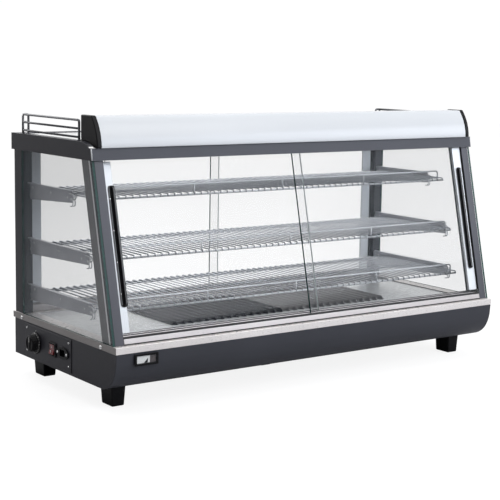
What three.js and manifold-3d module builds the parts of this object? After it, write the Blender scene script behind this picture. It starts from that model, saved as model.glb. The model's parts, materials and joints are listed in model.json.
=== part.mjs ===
// Countertop hot food display case with a slanted glass front, millimetres, +Z up.
// +X runs to the right and +Y to the back. The origin is on the counter, at the
// middle of the centre foot's underside, which is halfway along and halfway deep.
import * as THREE from 'three';
import { mergeVertices } from 'three/addons/utils/BufferGeometryUtils.js';
import Module from 'manifold-3d';

const wasm = await Module();
wasm.setup();

// ---------------------------------------------------------------- driving dimensions
const WIDTH = 1200;             // stainless trim, end to end
const DEPTH = 526;              // stainless trim, front to back
const HEIGHT = 680;             // counter to the top of the canopy
const GAP = 0.3;                // clearance between pieces that touch
const SHEET = 2;                // thickness of the bent sheet metal
const LAP = 1;                  // depth that joined pieces share, and that cutters run past a face

const FOOT_HEIGHT = 54;
const TRIM_BOTTOM = 146;        // underside of the stainless trim
const TRIM_TOP = 162.4;
const FRAME_BOTTOM = 578;       // lower edge of the top frame
const FRAME_TOP = 619.4;        // upper edge of its side and rear bands
const BAND_TOP = 606.2;         // upper edge of its front band

const FRONT = -DEPTH / 2;       // y of the trim's front face
const BACK = DEPTH / 2;
const HALF = WIDTH / 2;
const fromFront = (distance) => FRONT + distance;

// The slanted front plane, which the front posts and doors follow.
const SLANT_FOOT = 14;          // set-back from the trim's front at the trim's top
const SLANT_HEAD = 112;         // set-back at the frame's lower edge
const SLANT = Math.atan2(SLANT_HEAD - SLANT_FOOT, FRAME_BOTTOM - TRIM_TOP);
const slantY = (z) => fromFront(SLANT_FOOT) + (z - TRIM_TOP) * Math.tan(SLANT);

const POST_INNER = 570;         // half the clear width between the posts
const GLASS = 6;                // side glass thickness
const PANE = 5;                 // door glass thickness
const PANE_PITCH = 17.5;        // between the two tracks of a pair of doors
const PANE_DEPTH = 6;           // front plane to the outer door's glass
const PANE_OVERLAP = 20;        // each door's glass passes the middle by this much
const PANE_EDGE = 575;          // the front glass tucks in behind the post's lip
const REAR_PANE_EDGE = 568;
const REAR_INNER_PANE = fromFront(484);
const HANDLE_X = { frontLeft: 544, frontRight: 553, rear: 547 };
const HANDLE_WIDTH = 13;
const HANDLE_DEPTH = 10;
const HANDLE_CHAMFER = 6;       // length of the sloped ends
const HANDLE_BOTTOM = 250;
const HANDLE_TOP = 521;

const REAR_POST_FRONT = fromFront(472);
const REAR_POST_DEPTH = 40;
const REAR_POST_WIDTH = 29;
const FRONT_POST_DEPTH = 60;
const FRONT_POST_OUTER = HALF - GLASS - GAP;
const POST_TOP = 600;

const SHELVES = [
  { name: 'top', z: 487, front: 176, bracket: 245 },
  { name: 'middle', z: 348, front: 138, bracket: 165 },
  { name: 'bottom', z: 229, front: 110, bracket: 150 },
];
const SHELF_REAR = 444;         // from the front, the same for all the shelves
const SHELF_HALF = 572;
const BRACKET_X = 575;          // inner face of the bracket's plate
const SIDES = [{ name: 'left', sign: -1 }, { name: 'right', sign: 1 }];

// ---------------------------------------------------------------- colours
const paint = (color, roughness, metalness) =>
  new THREE.MeshStandardMaterial({ color, roughness, metalness });
const MATERIALS = {
  charcoal: paint(0x3d3f48, 0.45, 0.2),
  steel: paint(0xc9c8c6, 0.35, 0.9),
  brightSteel: paint(0xe0e2e3, 0.3, 0.9),
  galvanised: paint(0x8d9092, 0.5, 0.8),
  white: paint(0xeef1f3, 0.4, 0.0),
  blackPlastic: paint(0x131316, 0.5, 0.0),
  ribbedPlate: paint(0x35363c, 0.5, 0.5),
  chromeWire: paint(0xb9bcbf, 0.25, 0.95),
  bracketSteel: paint(0x7d8084, 0.4, 0.8),
  glass: paint(0xcfe0de, 0.05, 0.0),
  elementSheath: paint(0x5a544c, 0.5, 0.8),
  lamp: paint(0xf6f7f2, 0.3, 0.0),
  redPlastic: paint(0xc01a1c, 0.25, 0.0),
};

// ---------------------------------------------------------------- geometry helpers
const ROW_TO_X = new THREE.Matrix4().makeBasis(
  new THREE.Vector3(0, 1, 0), new THREE.Vector3(0, 0, 1), new THREE.Vector3(1, 0, 0));
const ROW_TO_Y = new THREE.Matrix4().makeBasis(
  new THREE.Vector3(1, 0, 0), new THREE.Vector3(0, 0, 1), new THREE.Vector3(0, -1, 0));

function pull(points, length) {
  const shape = new THREE.Shape(points.map(([u, v]) => new THREE.Vector2(u, v)));
  return new THREE.ExtrudeGeometry(shape, { depth: length, bevelEnabled: false, steps: 1 });
}

// A (y, z) outline pulled along X, and an (x, z) outline pulled along Y.
const alongX = (points, x0, x1) => pull(points, x1 - x0).applyMatrix4(ROW_TO_X).translate(x0, 0, 0);
const alongY = (points, y0, y1) => pull(points, y1 - y0).applyMatrix4(ROW_TO_Y).translate(0, y1, 0);

function block(x0, x1, y0, y1, z0, z1) {
  return new THREE.BoxGeometry(x1 - x0, y1 - y0, z1 - z0)
    .translate((x0 + x1) / 2, (y0 + y1) / 2, (z0 + z1) / 2);
}

// A round bar between two points, a little long at each end so that bars join.
function rod(from, to, radius, sides = 8, overrun = 0) {
  const start = new THREE.Vector3(...from);
  const run = new THREE.Vector3(...to).sub(start);
  const length = run.length();
  const turn = new THREE.Quaternion().setFromUnitVectors(
    new THREE.Vector3(0, 1, 0), run.clone().divideScalar(length));
  const middle = start.addScaledVector(run, 0.5);
  return new THREE.CylinderGeometry(radius, radius, length + 2 * overrun, sides)
    .applyQuaternion(turn).translate(middle.x, middle.y, middle.z);
}

function solid(geometry) {
  const plain = geometry.clone();
  plain.deleteAttribute('normal');
  plain.deleteAttribute('uv');
  const merged = mergeVertices(plain, 1e-4);
  return new wasm.Manifold(new wasm.Mesh({
    numProp: 3,
    vertProperties: new Float32Array(merged.attributes.position.array),
    triVerts: new Uint32Array(merged.index.array),
  }));
}

function fromSolid(manifold) {
  const mesh = manifold.getMesh();
  const geometry = new THREE.BufferGeometry();
  geometry.setAttribute('position', new THREE.BufferAttribute(mesh.vertProperties, 3));
  geometry.setIndex(new THREE.BufferAttribute(mesh.triVerts, 1));
  return geometry;
}

const join = (...pieces) => fromSolid(pieces.map(solid).reduce((whole, piece) => whole.add(piece)));
const cut = (body, ...tools) =>
  fromSolid(tools.map(solid).reduce((whole, tool) => whole.subtract(tool), solid(body)));

// The interval a to b on the right end, and its mirror image on the left.
const span = (sign, a, b) => (sign > 0 ? [a, b] : [-b, -a]);

// A band of constant thickness on the left of an open (u, v) line.
function band(line, thickness) {
  const inner = line.map((point, i) => {
    const before = line[Math.max(i - 1, 0)];
    const after = line[Math.min(i + 1, line.length - 1)];
    const length = Math.hypot(after[0] - before[0], after[1] - before[1]);
    return [
      point[0] - ((after[1] - before[1]) * thickness) / length,
      point[1] + ((after[0] - before[0]) * thickness) / length,
    ];
  });
  return [...line, ...inner.reverse()];
}

function bezier(start, control, end, steps) {
  const curve = new THREE.QuadraticBezierCurve(
    new THREE.Vector2(...start), new THREE.Vector2(...control), new THREE.Vector2(...end));
  return curve.getPoints(steps).map((p) => [p.x, p.y]);
}

const root = new THREE.Group();
const slanted = new THREE.Group();  // local z runs up the front plane, local y into the case
slanted.position.set(0, fromFront(SLANT_FOOT), TRIM_TOP);
slanted.rotation.x = -SLANT;
root.add(slanted);

function add(name, geometry, material, parent = root) {
  const mesh = new THREE.Mesh(geometry, MATERIALS[material].clone());
  mesh.name = name;
  parent.add(mesh);
  return mesh;
}

// ---------------------------------------------------------------- base cabinet
const BODY_TOP = TRIM_BOTTOM - GAP;
const SKIRT_TURN = 120;         // height where the front panel starts to curve in
const BODY_FRONT = 1;
const BODY_BACK = fromFront(515.5);
const BOTTOM_FRONT = 60;        // where the curved panel meets the flat bottom

function skirtLine() {
  const curve = bezier([fromFront(3), SKIRT_TURN], [fromFront(12), 66],
    [fromFront(BOTTOM_FRONT), FOOT_HEIGHT + GAP], 8);
  return [[fromFront(BODY_FRONT), BODY_TOP], ...curve];
}

const METER = { x: -520, z: 128.3, width: 63, height: 28, bodyWidth: 56, bodyHeight: 22,
  bodyRear: 20, bezel: 2, cardWidth: 52, cardHeight: 18, cardDepth: 3, play: 1 };

// A box on the meter's centre line.
const meterBox = (width, height, y0, y1) => block(METER.x - width / 2, METER.x + width / 2,
  y0, y1, METER.z - height / 2, METER.z + height / 2);

function frontPanel() {
  const inner = HALF - SHEET - GAP;
  const window = meterBox(METER.bodyWidth + 2 * METER.play, METER.bodyHeight + METER.play,
    FRONT - LAP, fromFront(METER.bodyRear));
  return cut(alongX(band(skirtLine(), SHEET), -inner, inner), window);
}

const CONTROL_CUTOUT = [fromFront(226), fromFront(440), 70, 134];

function sidePanel(sign) {
  const profile = [...skirtLine(), [BODY_BACK, FOOT_HEIGHT + GAP], [BODY_BACK, BODY_TOP]];
  const sheet = alongX(profile, ...span(sign, HALF - SHEET, HALF));
  return sign < 0 ? cut(sheet, block(-HALF - LAP, -HALF + SHEET + LAP, ...CONTROL_CUTOUT)) : sheet;
}

const VENT = { centres: [-420, 420], width: 120, height: 5, bottom: 78, rows: 4, pitch: 14 };

function rearPanel() {
  const inner = HALF - SHEET - GAP;
  const slots = [];
  for (const x of VENT.centres) {
    for (let row = 0; row < VENT.rows; row += 1) {
      const z = VENT.bottom + row * VENT.pitch;
      slots.push(block(x - VENT.width / 2, x + VENT.width / 2, BODY_BACK - SHEET - LAP,
        BODY_BACK + LAP, z, z + VENT.height));
    }
  }
  return cut(block(-inner, inner, BODY_BACK - SHEET, BODY_BACK, FOOT_HEIGHT + GAP, BODY_TOP), ...slots);
}

function bottomPanel() {
  const inner = HALF - SHEET - GAP;
  return block(-inner, inner, fromFront(BOTTOM_FRONT) + 2 * GAP, BODY_BACK - SHEET - GAP,
    FOOT_HEIGHT + GAP, FOOT_HEIGHT + GAP + SHEET);
}

const FLANGE = { side: 38, front: 58, rear: 58 };       // width of the trim's top on each edge

function trimFrame() {
  const opening = block(-HALF + FLANGE.side, HALF - FLANGE.side,
    fromFront(FLANGE.front), BACK - FLANGE.rear, TRIM_BOTTOM - LAP, TRIM_TOP + LAP);
  const hollow = block(-HALF + SHEET, HALF - SHEET, FRONT + SHEET, BACK - SHEET,
    TRIM_BOTTOM - LAP, TRIM_TOP - SHEET);
  return cut(block(-HALF, HALF, FRONT, BACK, TRIM_BOTTOM, TRIM_TOP), opening, hollow);
}

const PLATE_FRONT = 155;
const PLATE_REAR = 405;
const PLATE_HALF = 348;
const PLATE_SEAT = 18;          // the deck carries this much of each heat plate's edge
const DECK_WEB = 24;            // half the width of deck between the two heat plates
const DECK_TOP = TRIM_TOP - SHEET - GAP;

function floorDeck() {
  const openings = SIDES.map(({ sign }) => block(
    ...span(sign, DECK_WEB, PLATE_HALF - PLATE_SEAT), fromFront(PLATE_FRONT + PLATE_SEAT),
    fromFront(PLATE_REAR - PLATE_SEAT), DECK_TOP - SHEET - LAP, DECK_TOP + LAP));
  const reach = HALF - SHEET - GAP;
  return cut(block(-reach, reach, FRONT + SHEET + GAP, BACK - SHEET - GAP,
    DECK_TOP - SHEET, DECK_TOP), ...openings);
}

const RIBS = 15;
const RIB_HEIGHT = 10;
const VALLEY_HEIGHT = 2;
// One rib's upper side: how far along its pitch, and the height above the deck.
const RIB_PROFILE = [[0, VALLEY_HEIGHT], [0.2, 6.4], [0.4, RIB_HEIGHT], [0.62, RIB_HEIGHT], [0.82, 6.4]];

// A corrugated plate: rounded ribs that run front to back.
function heatPlate(sign) {
  const [x0, x1] = span(sign, 1, PLATE_HALF);
  const pitch = (x1 - x0) / RIBS;
  const base = DECK_TOP + GAP;
  const top = [];
  for (let rib = 0; rib < RIBS; rib += 1) {
    for (const [share, height] of RIB_PROFILE) {
      top.push([x0 + (rib + share) * pitch, base + height]);
    }
  }
  top.push([x1, base + VALLEY_HEIGHT]);
  return alongY([[x1, base], ...top.reverse(), [x0, base]].reverse(),
    fromFront(PLATE_FRONT), fromFront(PLATE_REAR));
}

// ---------------------------------------------------------------- heating, inside the base
const PAN = { half: 380, front: 130, rear: 430, bottom: 88, height: 30 };

function heatShield() {
  const outer = block(-PAN.half, PAN.half, fromFront(PAN.front), fromFront(PAN.rear),
    PAN.bottom, PAN.bottom + PAN.height);
  const inner = block(-PAN.half + SHEET, PAN.half - SHEET, fromFront(PAN.front) + SHEET,
    fromFront(PAN.rear) - SHEET, PAN.bottom + SHEET, PAN.bottom + PAN.height + LAP);
  return cut(outer, inner);
}

// Distances of its long runs from the front, and of its bends and ends from the middle.
const ELEMENT = { radius: 4, z: 128, runs: [180, 240, 300, 360], near: 60, far: 320, end: 372,
  sides: 6, overrun: 1.5 };

// A sheathed element that runs to and fro under one heat plate.
function heatingElement(sign) {
  const { radius, z, runs, near, far, end, sides, overrun } = ELEMENT;
  const points = [[sign * end, runs[0]]];
  runs.forEach((y, i) => {
    const ends = i % 2 ? [near, far] : [far, near];
    points.push([sign * ends[0], y], [sign * ends[1], y]);
  });
  points.push([sign * end, runs[runs.length - 1]]);
  const bars = points.slice(1).map(([x, y], i) => rod(
    [points[i][0], fromFront(points[i][1]), z], [x, fromFront(y), z], radius, sides, overrun));
  return join(...bars);
}

// ---------------------------------------------------------------- feet
const FOOT = { outer: 560, inner: 527, front: 87, rear: 434, depth: 50 };
const FOOT_TAPER = 3;           // the foot widens by this much on each side at its top

// A tapered block, bottom at the origin and centred on it.
function footBlock(width, depth) {
  const foot = new THREE.BoxGeometry(width, depth, FOOT_HEIGHT);
  const place = foot.attributes.position;
  for (let i = 0; i < place.count; i += 1) {
    if (place.getZ(i) > 0) {
      place.setX(i, place.getX(i) + Math.sign(place.getX(i)) * FOOT_TAPER);
      place.setY(i, place.getY(i) + Math.sign(place.getY(i)) * FOOT_TAPER);
    }
  }
  return foot.translate(0, 0, FOOT_HEIGHT / 2);
}

function addFeet() {
  const width = FOOT.outer - FOOT.inner;
  for (const { name, sign } of SIDES) {
    for (const row of ['front', 'rear']) {
      const foot = add(`foot_${row}_${name}`, footBlock(width, FOOT.depth), 'blackPlastic');
      foot.position.set(sign * (FOOT.outer - width / 2), fromFront(FOOT[row] + FOOT.depth / 2), 0);
    }
  }
  add('foot_centre', footBlock(width, FOOT.depth), 'blackPlastic');
}

// ---------------------------------------------------------------- posts and side glass
const POST_FOOT = TRIM_TOP + GAP;
const REAR_LIP = 16;            // width of the front post's rear flange

// Slanted channel, open towards the inside, whose front lip covers the door's edge.
function frontPost(sign) {
  const strip = (near, far) => [
    [slantY(POST_FOOT) + near, POST_FOOT], [slantY(POST_FOOT) + far, POST_FOOT],
    [slantY(POST_TOP) + far, POST_TOP], [slantY(POST_TOP) + near, POST_TOP]];
  const outer = FRONT_POST_OUTER;
  const web = span(sign, outer - SHEET, outer);
  const lip = span(sign, POST_INNER, outer - LAP);
  const rear = span(sign, outer - REAR_LIP, outer - LAP);
  return join(
    alongX(strip(0, FRONT_POST_DEPTH), ...web),
    alongX(strip(0, SHEET), ...lip),
    alongX(strip(FRONT_POST_DEPTH - SHEET, FRONT_POST_DEPTH), ...rear));
}

function rearPost(sign) {
  const [x0, x1] = span(sign, HALF - GAP - REAR_POST_WIDTH, HALF - GAP);
  const y0 = REAR_POST_FRONT;
  const y1 = y0 + REAR_POST_DEPTH;
  return cut(block(x0, x1, y0, y1, POST_FOOT, POST_TOP),
    block(x0 + SHEET, x1 - SHEET, y0 + SHEET, y1 - SHEET, POST_FOOT - LAP, POST_TOP + LAP));
}

const GLASS_TUCK = 14;          // the side glass runs up behind the frame's band by this much

function sideGlass(sign) {
  const top = FRAME_BOTTOM + GLASS_TUCK;
  const rear = REAR_POST_FRONT - GAP;
  const [x0, x1] = span(sign, HALF - GLASS, HALF);
  return alongX([[slantY(POST_FOOT), POST_FOOT], [rear, POST_FOOT], [rear, top],
    [slantY(top), top]], x0, x1);
}

// ---------------------------------------------------------------- door tracks
const TRACK_DEPTH = 38;
const TRACK_HALF = POST_INNER - GAP;
const TRACK_TOP = 181;
const HEAD_BOTTOM = 580;        // underside of the upper tracks
const HEAD_TOP = 602;
const GROOVE = 1;               // play on each face of the glass
const FRONT_PANE_BOTTOM = 12;   // along the slanted plane
const FRONT_PANE_TOP = 443;
const PANE_SEAT = 0.5;          // below a pane's lower edge in its groove
const PANE_LIFT = 2;            // above its upper edge
const GROOVE_RUN = 40;          // a groove's cutter reaches this far out of the track's open side

// Cutters for the two grooves of a slanted track, in the case's own axes.
function slantedGrooves(low, high) {
  return [PANE_DEPTH, PANE_DEPTH + PANE_PITCH].map((depth) =>
    block(-HALF, HALF, depth - GROOVE, depth + PANE + GROOVE, low, high)
      .rotateX(-SLANT).translate(0, fromFront(SLANT_FOOT), TRIM_TOP));
}

function frontTrackBottom() {
  const profile = [[slantY(POST_FOOT), POST_FOOT], [slantY(POST_FOOT) + TRACK_DEPTH, POST_FOOT],
    [slantY(TRACK_TOP) + TRACK_DEPTH, TRACK_TOP], [slantY(TRACK_TOP), TRACK_TOP]];
  return cut(alongX(profile, -TRACK_HALF, TRACK_HALF),
    ...slantedGrooves(FRONT_PANE_BOTTOM - PANE_SEAT, FRONT_PANE_BOTTOM + GROOVE_RUN));
}

function frontTrackTop() {
  const profile = [[slantY(HEAD_BOTTOM), HEAD_BOTTOM], [slantY(HEAD_BOTTOM) + TRACK_DEPTH, HEAD_BOTTOM],
    [slantY(HEAD_TOP) + TRACK_DEPTH, HEAD_TOP], [slantY(HEAD_TOP), HEAD_TOP]];
  return cut(alongX(profile, -TRACK_HALF, TRACK_HALF),
    ...slantedGrooves(FRONT_PANE_TOP - GROOVE_RUN, FRONT_PANE_TOP + PANE_LIFT));
}

const REAR_TRACK_MARGIN = 4;    // from the track's inner face to its inner pane
const REAR_TRACK_DEPTH = 30;
const REAR_PANE_BOTTOM = 170;
const REAR_PANE_TOP = 594;

function rearTrack(z0, z1, low, high) {
  const y0 = REAR_INNER_PANE - REAR_TRACK_MARGIN;
  const grooves = [0, PANE_PITCH].map((offset) => block(-HALF, HALF,
    REAR_INNER_PANE + offset - GROOVE, REAR_INNER_PANE + offset + PANE + GROOVE, low, high));
  return cut(block(-TRACK_HALF, TRACK_HALF, y0, y0 + REAR_TRACK_DEPTH, z0, z1), ...grooves);
}

// ---------------------------------------------------------------- doors
function addFrontDoor(name, sign, depth) {
  const [x0, x1] = span(sign, -PANE_OVERLAP, PANE_EDGE);
  add(`front_door_${name}_glass`, block(x0, x1, depth, depth + PANE,
    FRONT_PANE_BOTTOM, FRONT_PANE_TOP), 'glass', slanted);
  const low = (HANDLE_BOTTOM - TRIM_TOP) / Math.cos(SLANT);
  const high = (HANDLE_TOP - TRIM_TOP) / Math.cos(SLANT);
  const x = sign * (sign > 0 ? HANDLE_X.frontRight : HANDLE_X.frontLeft);
  add(`front_door_${name}_handle`, handleBar(x, low, high, depth - GAP, -1),
    'blackPlastic', slanted);
}

function addRearDoor(name, sign, y) {
  const [x0, x1] = span(sign, -PANE_OVERLAP, REAR_PANE_EDGE);
  add(`rear_door_${name}_glass`, block(x0, x1, y, y + PANE, REAR_PANE_BOTTOM, REAR_PANE_TOP), 'glass');
  const face = y + PANE + GAP;
  add(`rear_door_${name}_handle`, handleBar(sign * HANDLE_X.rear, HANDLE_BOTTOM, HANDLE_TOP, face, 1),
    'blackPlastic');
}

// A bar with chamfered ends that stands off a pane's face by HANDLE_DEPTH.
function handleBar(x, low, high, face, outward) {
  const reach = outward * (HANDLE_DEPTH - GAP);
  const shoulder = 0.6 * reach;
  const side = [[0, low], [shoulder, low], [reach, low + HANDLE_CHAMFER],
    [reach, high - HANDLE_CHAMFER], [shoulder, high], [0, high]];
  const profile = (outward > 0 ? side : side.reverse()).map(([y, z]) => [face + y, z]);
  return alongX(profile, x - HANDLE_WIDTH / 2, x + HANDLE_WIDTH / 2);
}

// ---------------------------------------------------------------- shelves
const WIRE = 3;
const FRAME_ROD = 5;
const RAIL_ROD = 4;
const SHELF_WIRES = 27;
const RAIL_HALF = 550;
const RAIL_RISE = 21;           // guard rail's top above the shelf's surface
const RAIL_POSTS = 5;
const LOWER_ROD = 12.5;         // lower front rod's underside below the shelf's surface

const spread = (count, half) => Array.from({ length: count },
  (_, i) => -half + (2 * half * i) / (count - 1));

// A flat grid of wires with a lower front rod and a guard rail on short posts.
function shelf({ z, front }) {
  const near = fromFront(front);
  const far = fromFront(SHELF_REAR);
  const middle = (near + far) / 2;
  const bar = (half, y, depth, z0, z1) => block(-half, half, y, y + depth, z0, z1);
  const wires = spread(SHELF_WIRES, SHELF_HALF - WIRE).map((x) =>
    block(x - WIRE / 2, x + WIRE / 2, near + LAP, far - LAP, z - WIRE, z));
  const low = z - LOWER_ROD;
  const high = z + RAIL_RISE;
  const posts = spread(RAIL_POSTS, RAIL_HALF - RAIL_ROD).map((x) =>
    block(x - WIRE / 2, x + WIRE / 2, near + LAP / 2, near + LAP / 2 + WIRE, low + LAP, high - LAP));
  return join(
    ...wires,
    ...[near, middle, far - FRAME_ROD].map((y) =>
      bar(SHELF_HALF, y, FRAME_ROD, z - FRAME_ROD - LAP, z - LAP)),
    ...[low, high - RAIL_ROD].map((foot) => bar(RAIL_HALF, near, RAIL_ROD, foot, foot + RAIL_ROD)),
    ...posts);
}

// Plate heights at its front and rear ends, its top above the shelf, and its flanges' widths.
const BRACKET = { front: 30, rear: 43, above: 9.5, corner: 6, ledge: 14, flange: 9 };

// A tapered plate with a ledge that carries the shelf's end.
function shelfBracket({ z, bracket }, sign) {
  const { corner, ledge, flange } = BRACKET;
  const top = z + BRACKET.above;
  const rear = REAR_POST_FRONT - GAP;
  const tip = fromFront(bracket);
  const plate = [[tip, top - BRACKET.front], [rear, top - BRACKET.rear], [rear, top],
    [tip + corner, top], [tip, top - corner]];
  const ledgeTop = z - FRAME_ROD - LAP - GAP;
  return join(
    alongX(plate, ...span(sign, BRACKET_X, BRACKET_X + SHEET)),
    block(...span(sign, BRACKET_X - ledge, BRACKET_X + LAP), tip + corner, fromFront(SHELF_REAR),
      ledgeTop - SHEET, ledgeTop),
    block(...span(sign, BRACKET_X + LAP, BRACKET_X + flange), tip + corner, rear, top - SHEET, top));
}

// ---------------------------------------------------------------- top frame, roof and canopy
const FRAME_HALF = HALF + 2.5;
const FRAME_REAR = fromFront(522.3);
const FRAME_FLANGE = 24;
const BAND_FRONT_LOW = fromFront(105.9);
const BAND_FRONT_HIGH = fromFront(110);

// The side band's top edge rises from the front band at START to the full height at END.
const CORNER_START = fromFront(122);
const CORNER_KNEE = fromFront(134);
const CORNER_END = fromFront(160);
const CORNER = bezier([CORNER_START, BAND_TOP], [CORNER_KNEE, 617.5], [CORNER_END, FRAME_TOP], 5);

function topFrame() {
  const profile = [[BAND_FRONT_LOW, FRAME_BOTTOM], [FRAME_REAR, FRAME_BOTTOM],
    [FRAME_REAR, FRAME_TOP], ...[...CORNER].reverse(), [BAND_FRONT_HIGH, BAND_TOP]];
  const ceiling = FRAME_TOP - SHEET;
  const hollow = [[BAND_FRONT_LOW + SHEET, FRAME_BOTTOM - LAP], [FRAME_REAR - SHEET, FRAME_BOTTOM - LAP],
    [FRAME_REAR - SHEET, ceiling], [CORNER_END + SHEET, ceiling],
    [CORNER_KNEE + SHEET, FRAME_TOP - 2.5 * SHEET], [BAND_FRONT_HIGH + SHEET, BAND_TOP - SHEET]];
  const wide = FRAME_HALF - SHEET;
  const narrow = FRAME_HALF - FRAME_FLANGE;
  return cut(alongX(profile, -FRAME_HALF, FRAME_HALF),
    alongX(hollow, -wide, wide),
    block(-narrow, narrow, BAND_FRONT_HIGH + SHEET, FRAME_REAR - FRAME_FLANGE,
      BAND_TOP - 5 * SHEET, FRAME_TOP + LAP));
}

const CANOPY_BACK = fromFront(181);
const CANOPY_CREST = fromFront(131);
const CANOPY_LIP = fromFront(102);
const CANOPY_KNEE = 646;        // height towards which the front rises before it curves back
const CANOPY_REVEAL = 1.5;      // the sheet lies this far inside the end caps' outline
const CAP_THICKNESS = 12;
const CAP_OUTER = 590.4;
const ROOF_TOP = FRAME_TOP - SHEET - GAP;

function roofPanel() {
  const reach = FRAME_HALF - SHEET - GAP;
  return block(-reach, reach, CANOPY_BACK - SHEET, FRAME_REAR - SHEET - GAP,
    ROOF_TOP - SHEET, ROOF_TOP);
}

// The canopy's outer face, from its front lip over the crest.
function canopyLine(inset) {
  return bezier([CANOPY_LIP + inset, BAND_TOP + GAP], [CANOPY_LIP + 1 + inset, CANOPY_KNEE],
    [CANOPY_CREST + inset, HEIGHT - inset], 8);
}

function canopyCover() {
  const inner = CAP_OUTER - CAP_THICKNESS - GAP;
  const skin = (inset) => [...canopyLine(inset), [CANOPY_BACK - inset, HEIGHT - inset],
    [CANOPY_BACK - inset, ROOF_TOP + GAP]];
  const outside = skin(CANOPY_REVEAL);
  const inside = skin(CANOPY_REVEAL + SHEET);
  return alongX([...outside, ...inside.reverse()].reverse(), -inner, inner);
}

function canopyEndCap(sign) {
  const foot = CORNER.map(([y, z]) => [y, z + GAP]);
  const profile = [...canopyLine(0), [CANOPY_BACK, HEIGHT], [CANOPY_BACK, FRAME_TOP + GAP],
    ...foot.reverse()];
  return alongX(profile.reverse(), ...span(sign, CAP_OUTER - CAP_THICKNESS, CAP_OUTER));
}

const LAMP = { y: fromFront(152), z: 646, radius: 8, half: 455 };
const BATTEN = { overhang: 15, depth: 28, bottom: 662, top: 674 };
const HOLDER = { length: 14, depth: 24, bottom: 634 };

function lampFixture() {
  const end = LAMP.half + BATTEN.overhang;
  const batten = block(-end, end, LAMP.y - BATTEN.depth / 2, LAMP.y + BATTEN.depth / 2,
    BATTEN.bottom, BATTEN.top);
  const holders = SIDES.map(({ sign }) => block(
    ...span(sign, LAMP.half + GAP, LAMP.half + HOLDER.length),
    LAMP.y - HOLDER.depth / 2, LAMP.y + HOLDER.depth / 2, HOLDER.bottom, BATTEN.bottom + LAP));
  return join(batten, ...holders);
}

function lampTube() {
  return rod([-LAMP.half, LAMP.y, LAMP.z], [LAMP.half, LAMP.y, LAMP.z], LAMP.radius, 16);
}

const GALLERY = { x: 590, front: 187, rear: 485, wire: 5, rails: [625, 645, 664.5], back: 15 };

// Three rails on end posts, with a short return at the back.
function gallery(sign) {
  const foot = FRAME_TOP + GAP;
  const half = GALLERY.wire / 2;
  const top = GALLERY.rails[2] + GALLERY.wire;
  const [x0, x1] = span(sign, GALLERY.x - half, GALLERY.x + half);
  const front = fromFront(GALLERY.front);
  const rear = fromFront(GALLERY.rear);
  const bars = GALLERY.rails.map((z) => block(x0, x1, front, rear, z, z + GALLERY.wire));
  const posts = [front, rear - GALLERY.wire].map((y) => block(x0, x1, y, y + GALLERY.wire, foot, top));
  const [r0, r1] = span(sign, GALLERY.x - half - GALLERY.back, GALLERY.x);
  const returns = GALLERY.rails.map((z) =>
    block(r0, r1, rear - GALLERY.wire, rear, z + LAP / 2, z + GALLERY.wire - LAP / 2));
  const [p0, p1] = span(sign, GALLERY.x - half - GALLERY.back, GALLERY.x + half - GALLERY.back);
  const inner = block(p0, p1, rear - GALLERY.wire, rear, foot, top - LAP / 2);
  return join(...bars, ...posts, ...returns, inner);
}

// ---------------------------------------------------------------- controls on the left end
const CONTROL = { front: 212, rear: 455, bottom: 60, top: 142, thickness: 1.5 };
const PLATE_FACE = -HALF - GAP - CONTROL.thickness;     // outer face of the control plate
const KNOB = { y: 396, z: 101, radius: 27, face: 22, depth: 19, skirt: 4, shaft: 11 };
const SWITCH = { y: 303, z: 102, width: 36, height: 35, bodyWidth: 26, bodyHeight: 29,
  bodyDepth: 24, pocketWidth: 23, pocketHeight: 27.4, pocketDepth: 14 };
const INLET = { y: 251, z: 102.5, width: 60, height: 30, bodyWidth: 30, bodyHeight: 22,
  bodyDepth: 22, socketWidth: 25, socketHeight: 17, socketDepth: 17 };
const BLADE = { depth: 14, start: 4, thickness: 2, height: 4, places: [[-7, -2], [0, 3], [7, -2]] };
const FLANGE_THICKNESS = 3;     // switch bezel and inlet flange
const REGULATOR = { depth: 34, width: 44, height: 52, bore: 12 };
const BUSH_RADIUS = 5;
const SHAFT_RADIUS = 3;
const SHAFT_PLAY = 0.1;
const CUT_PLAY = 1;             // the control plate's openings are this much larger
const ROCKER_TILT = 8 * (Math.PI / 180);

// A box through the control plate, centred on a fitting.
const through = ({ y, z }, width, height, x0, x1) => block(x0, x1,
  fromFront(y) - width / 2, fromFront(y) + width / 2, z - height / 2, z + height / 2);

function controlPlate() {
  const face = PLATE_FACE;
  const back = face + CONTROL.thickness;
  const bush = fromFront(KNOB.y);
  return cut(
    block(face, back, fromFront(CONTROL.front), fromFront(CONTROL.rear), CONTROL.bottom, CONTROL.top),
    rod([face - LAP, bush, KNOB.z], [back + LAP, bush, KNOB.z], BUSH_RADIUS + CUT_PLAY / 2, 20),
    ...[SWITCH, INLET].map((fitting) => through(fitting, fitting.bodyWidth + CUT_PLAY,
      fitting.bodyHeight + CUT_PLAY, face - LAP, back + LAP)));
}

// Body behind the plate, with a threaded bush that the knob's shaft turns in.
function thermostat() {
  const back = PLATE_FACE + CONTROL.thickness + GAP;
  const y = fromFront(KNOB.y);
  const body = through(KNOB, REGULATOR.width, REGULATOR.height, back, back + REGULATOR.depth);
  const bush = rod([PLATE_FACE - 0.2, y, KNOB.z], [back + LAP, y, KNOB.z], BUSH_RADIUS, 20);
  const bore = rod([PLATE_FACE - LAP, y, KNOB.z], [back + REGULATOR.bore, y, KNOB.z],
    SHAFT_RADIUS + SHAFT_PLAY, 24);
  return cut(join(body, bush), bore);
}

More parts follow.
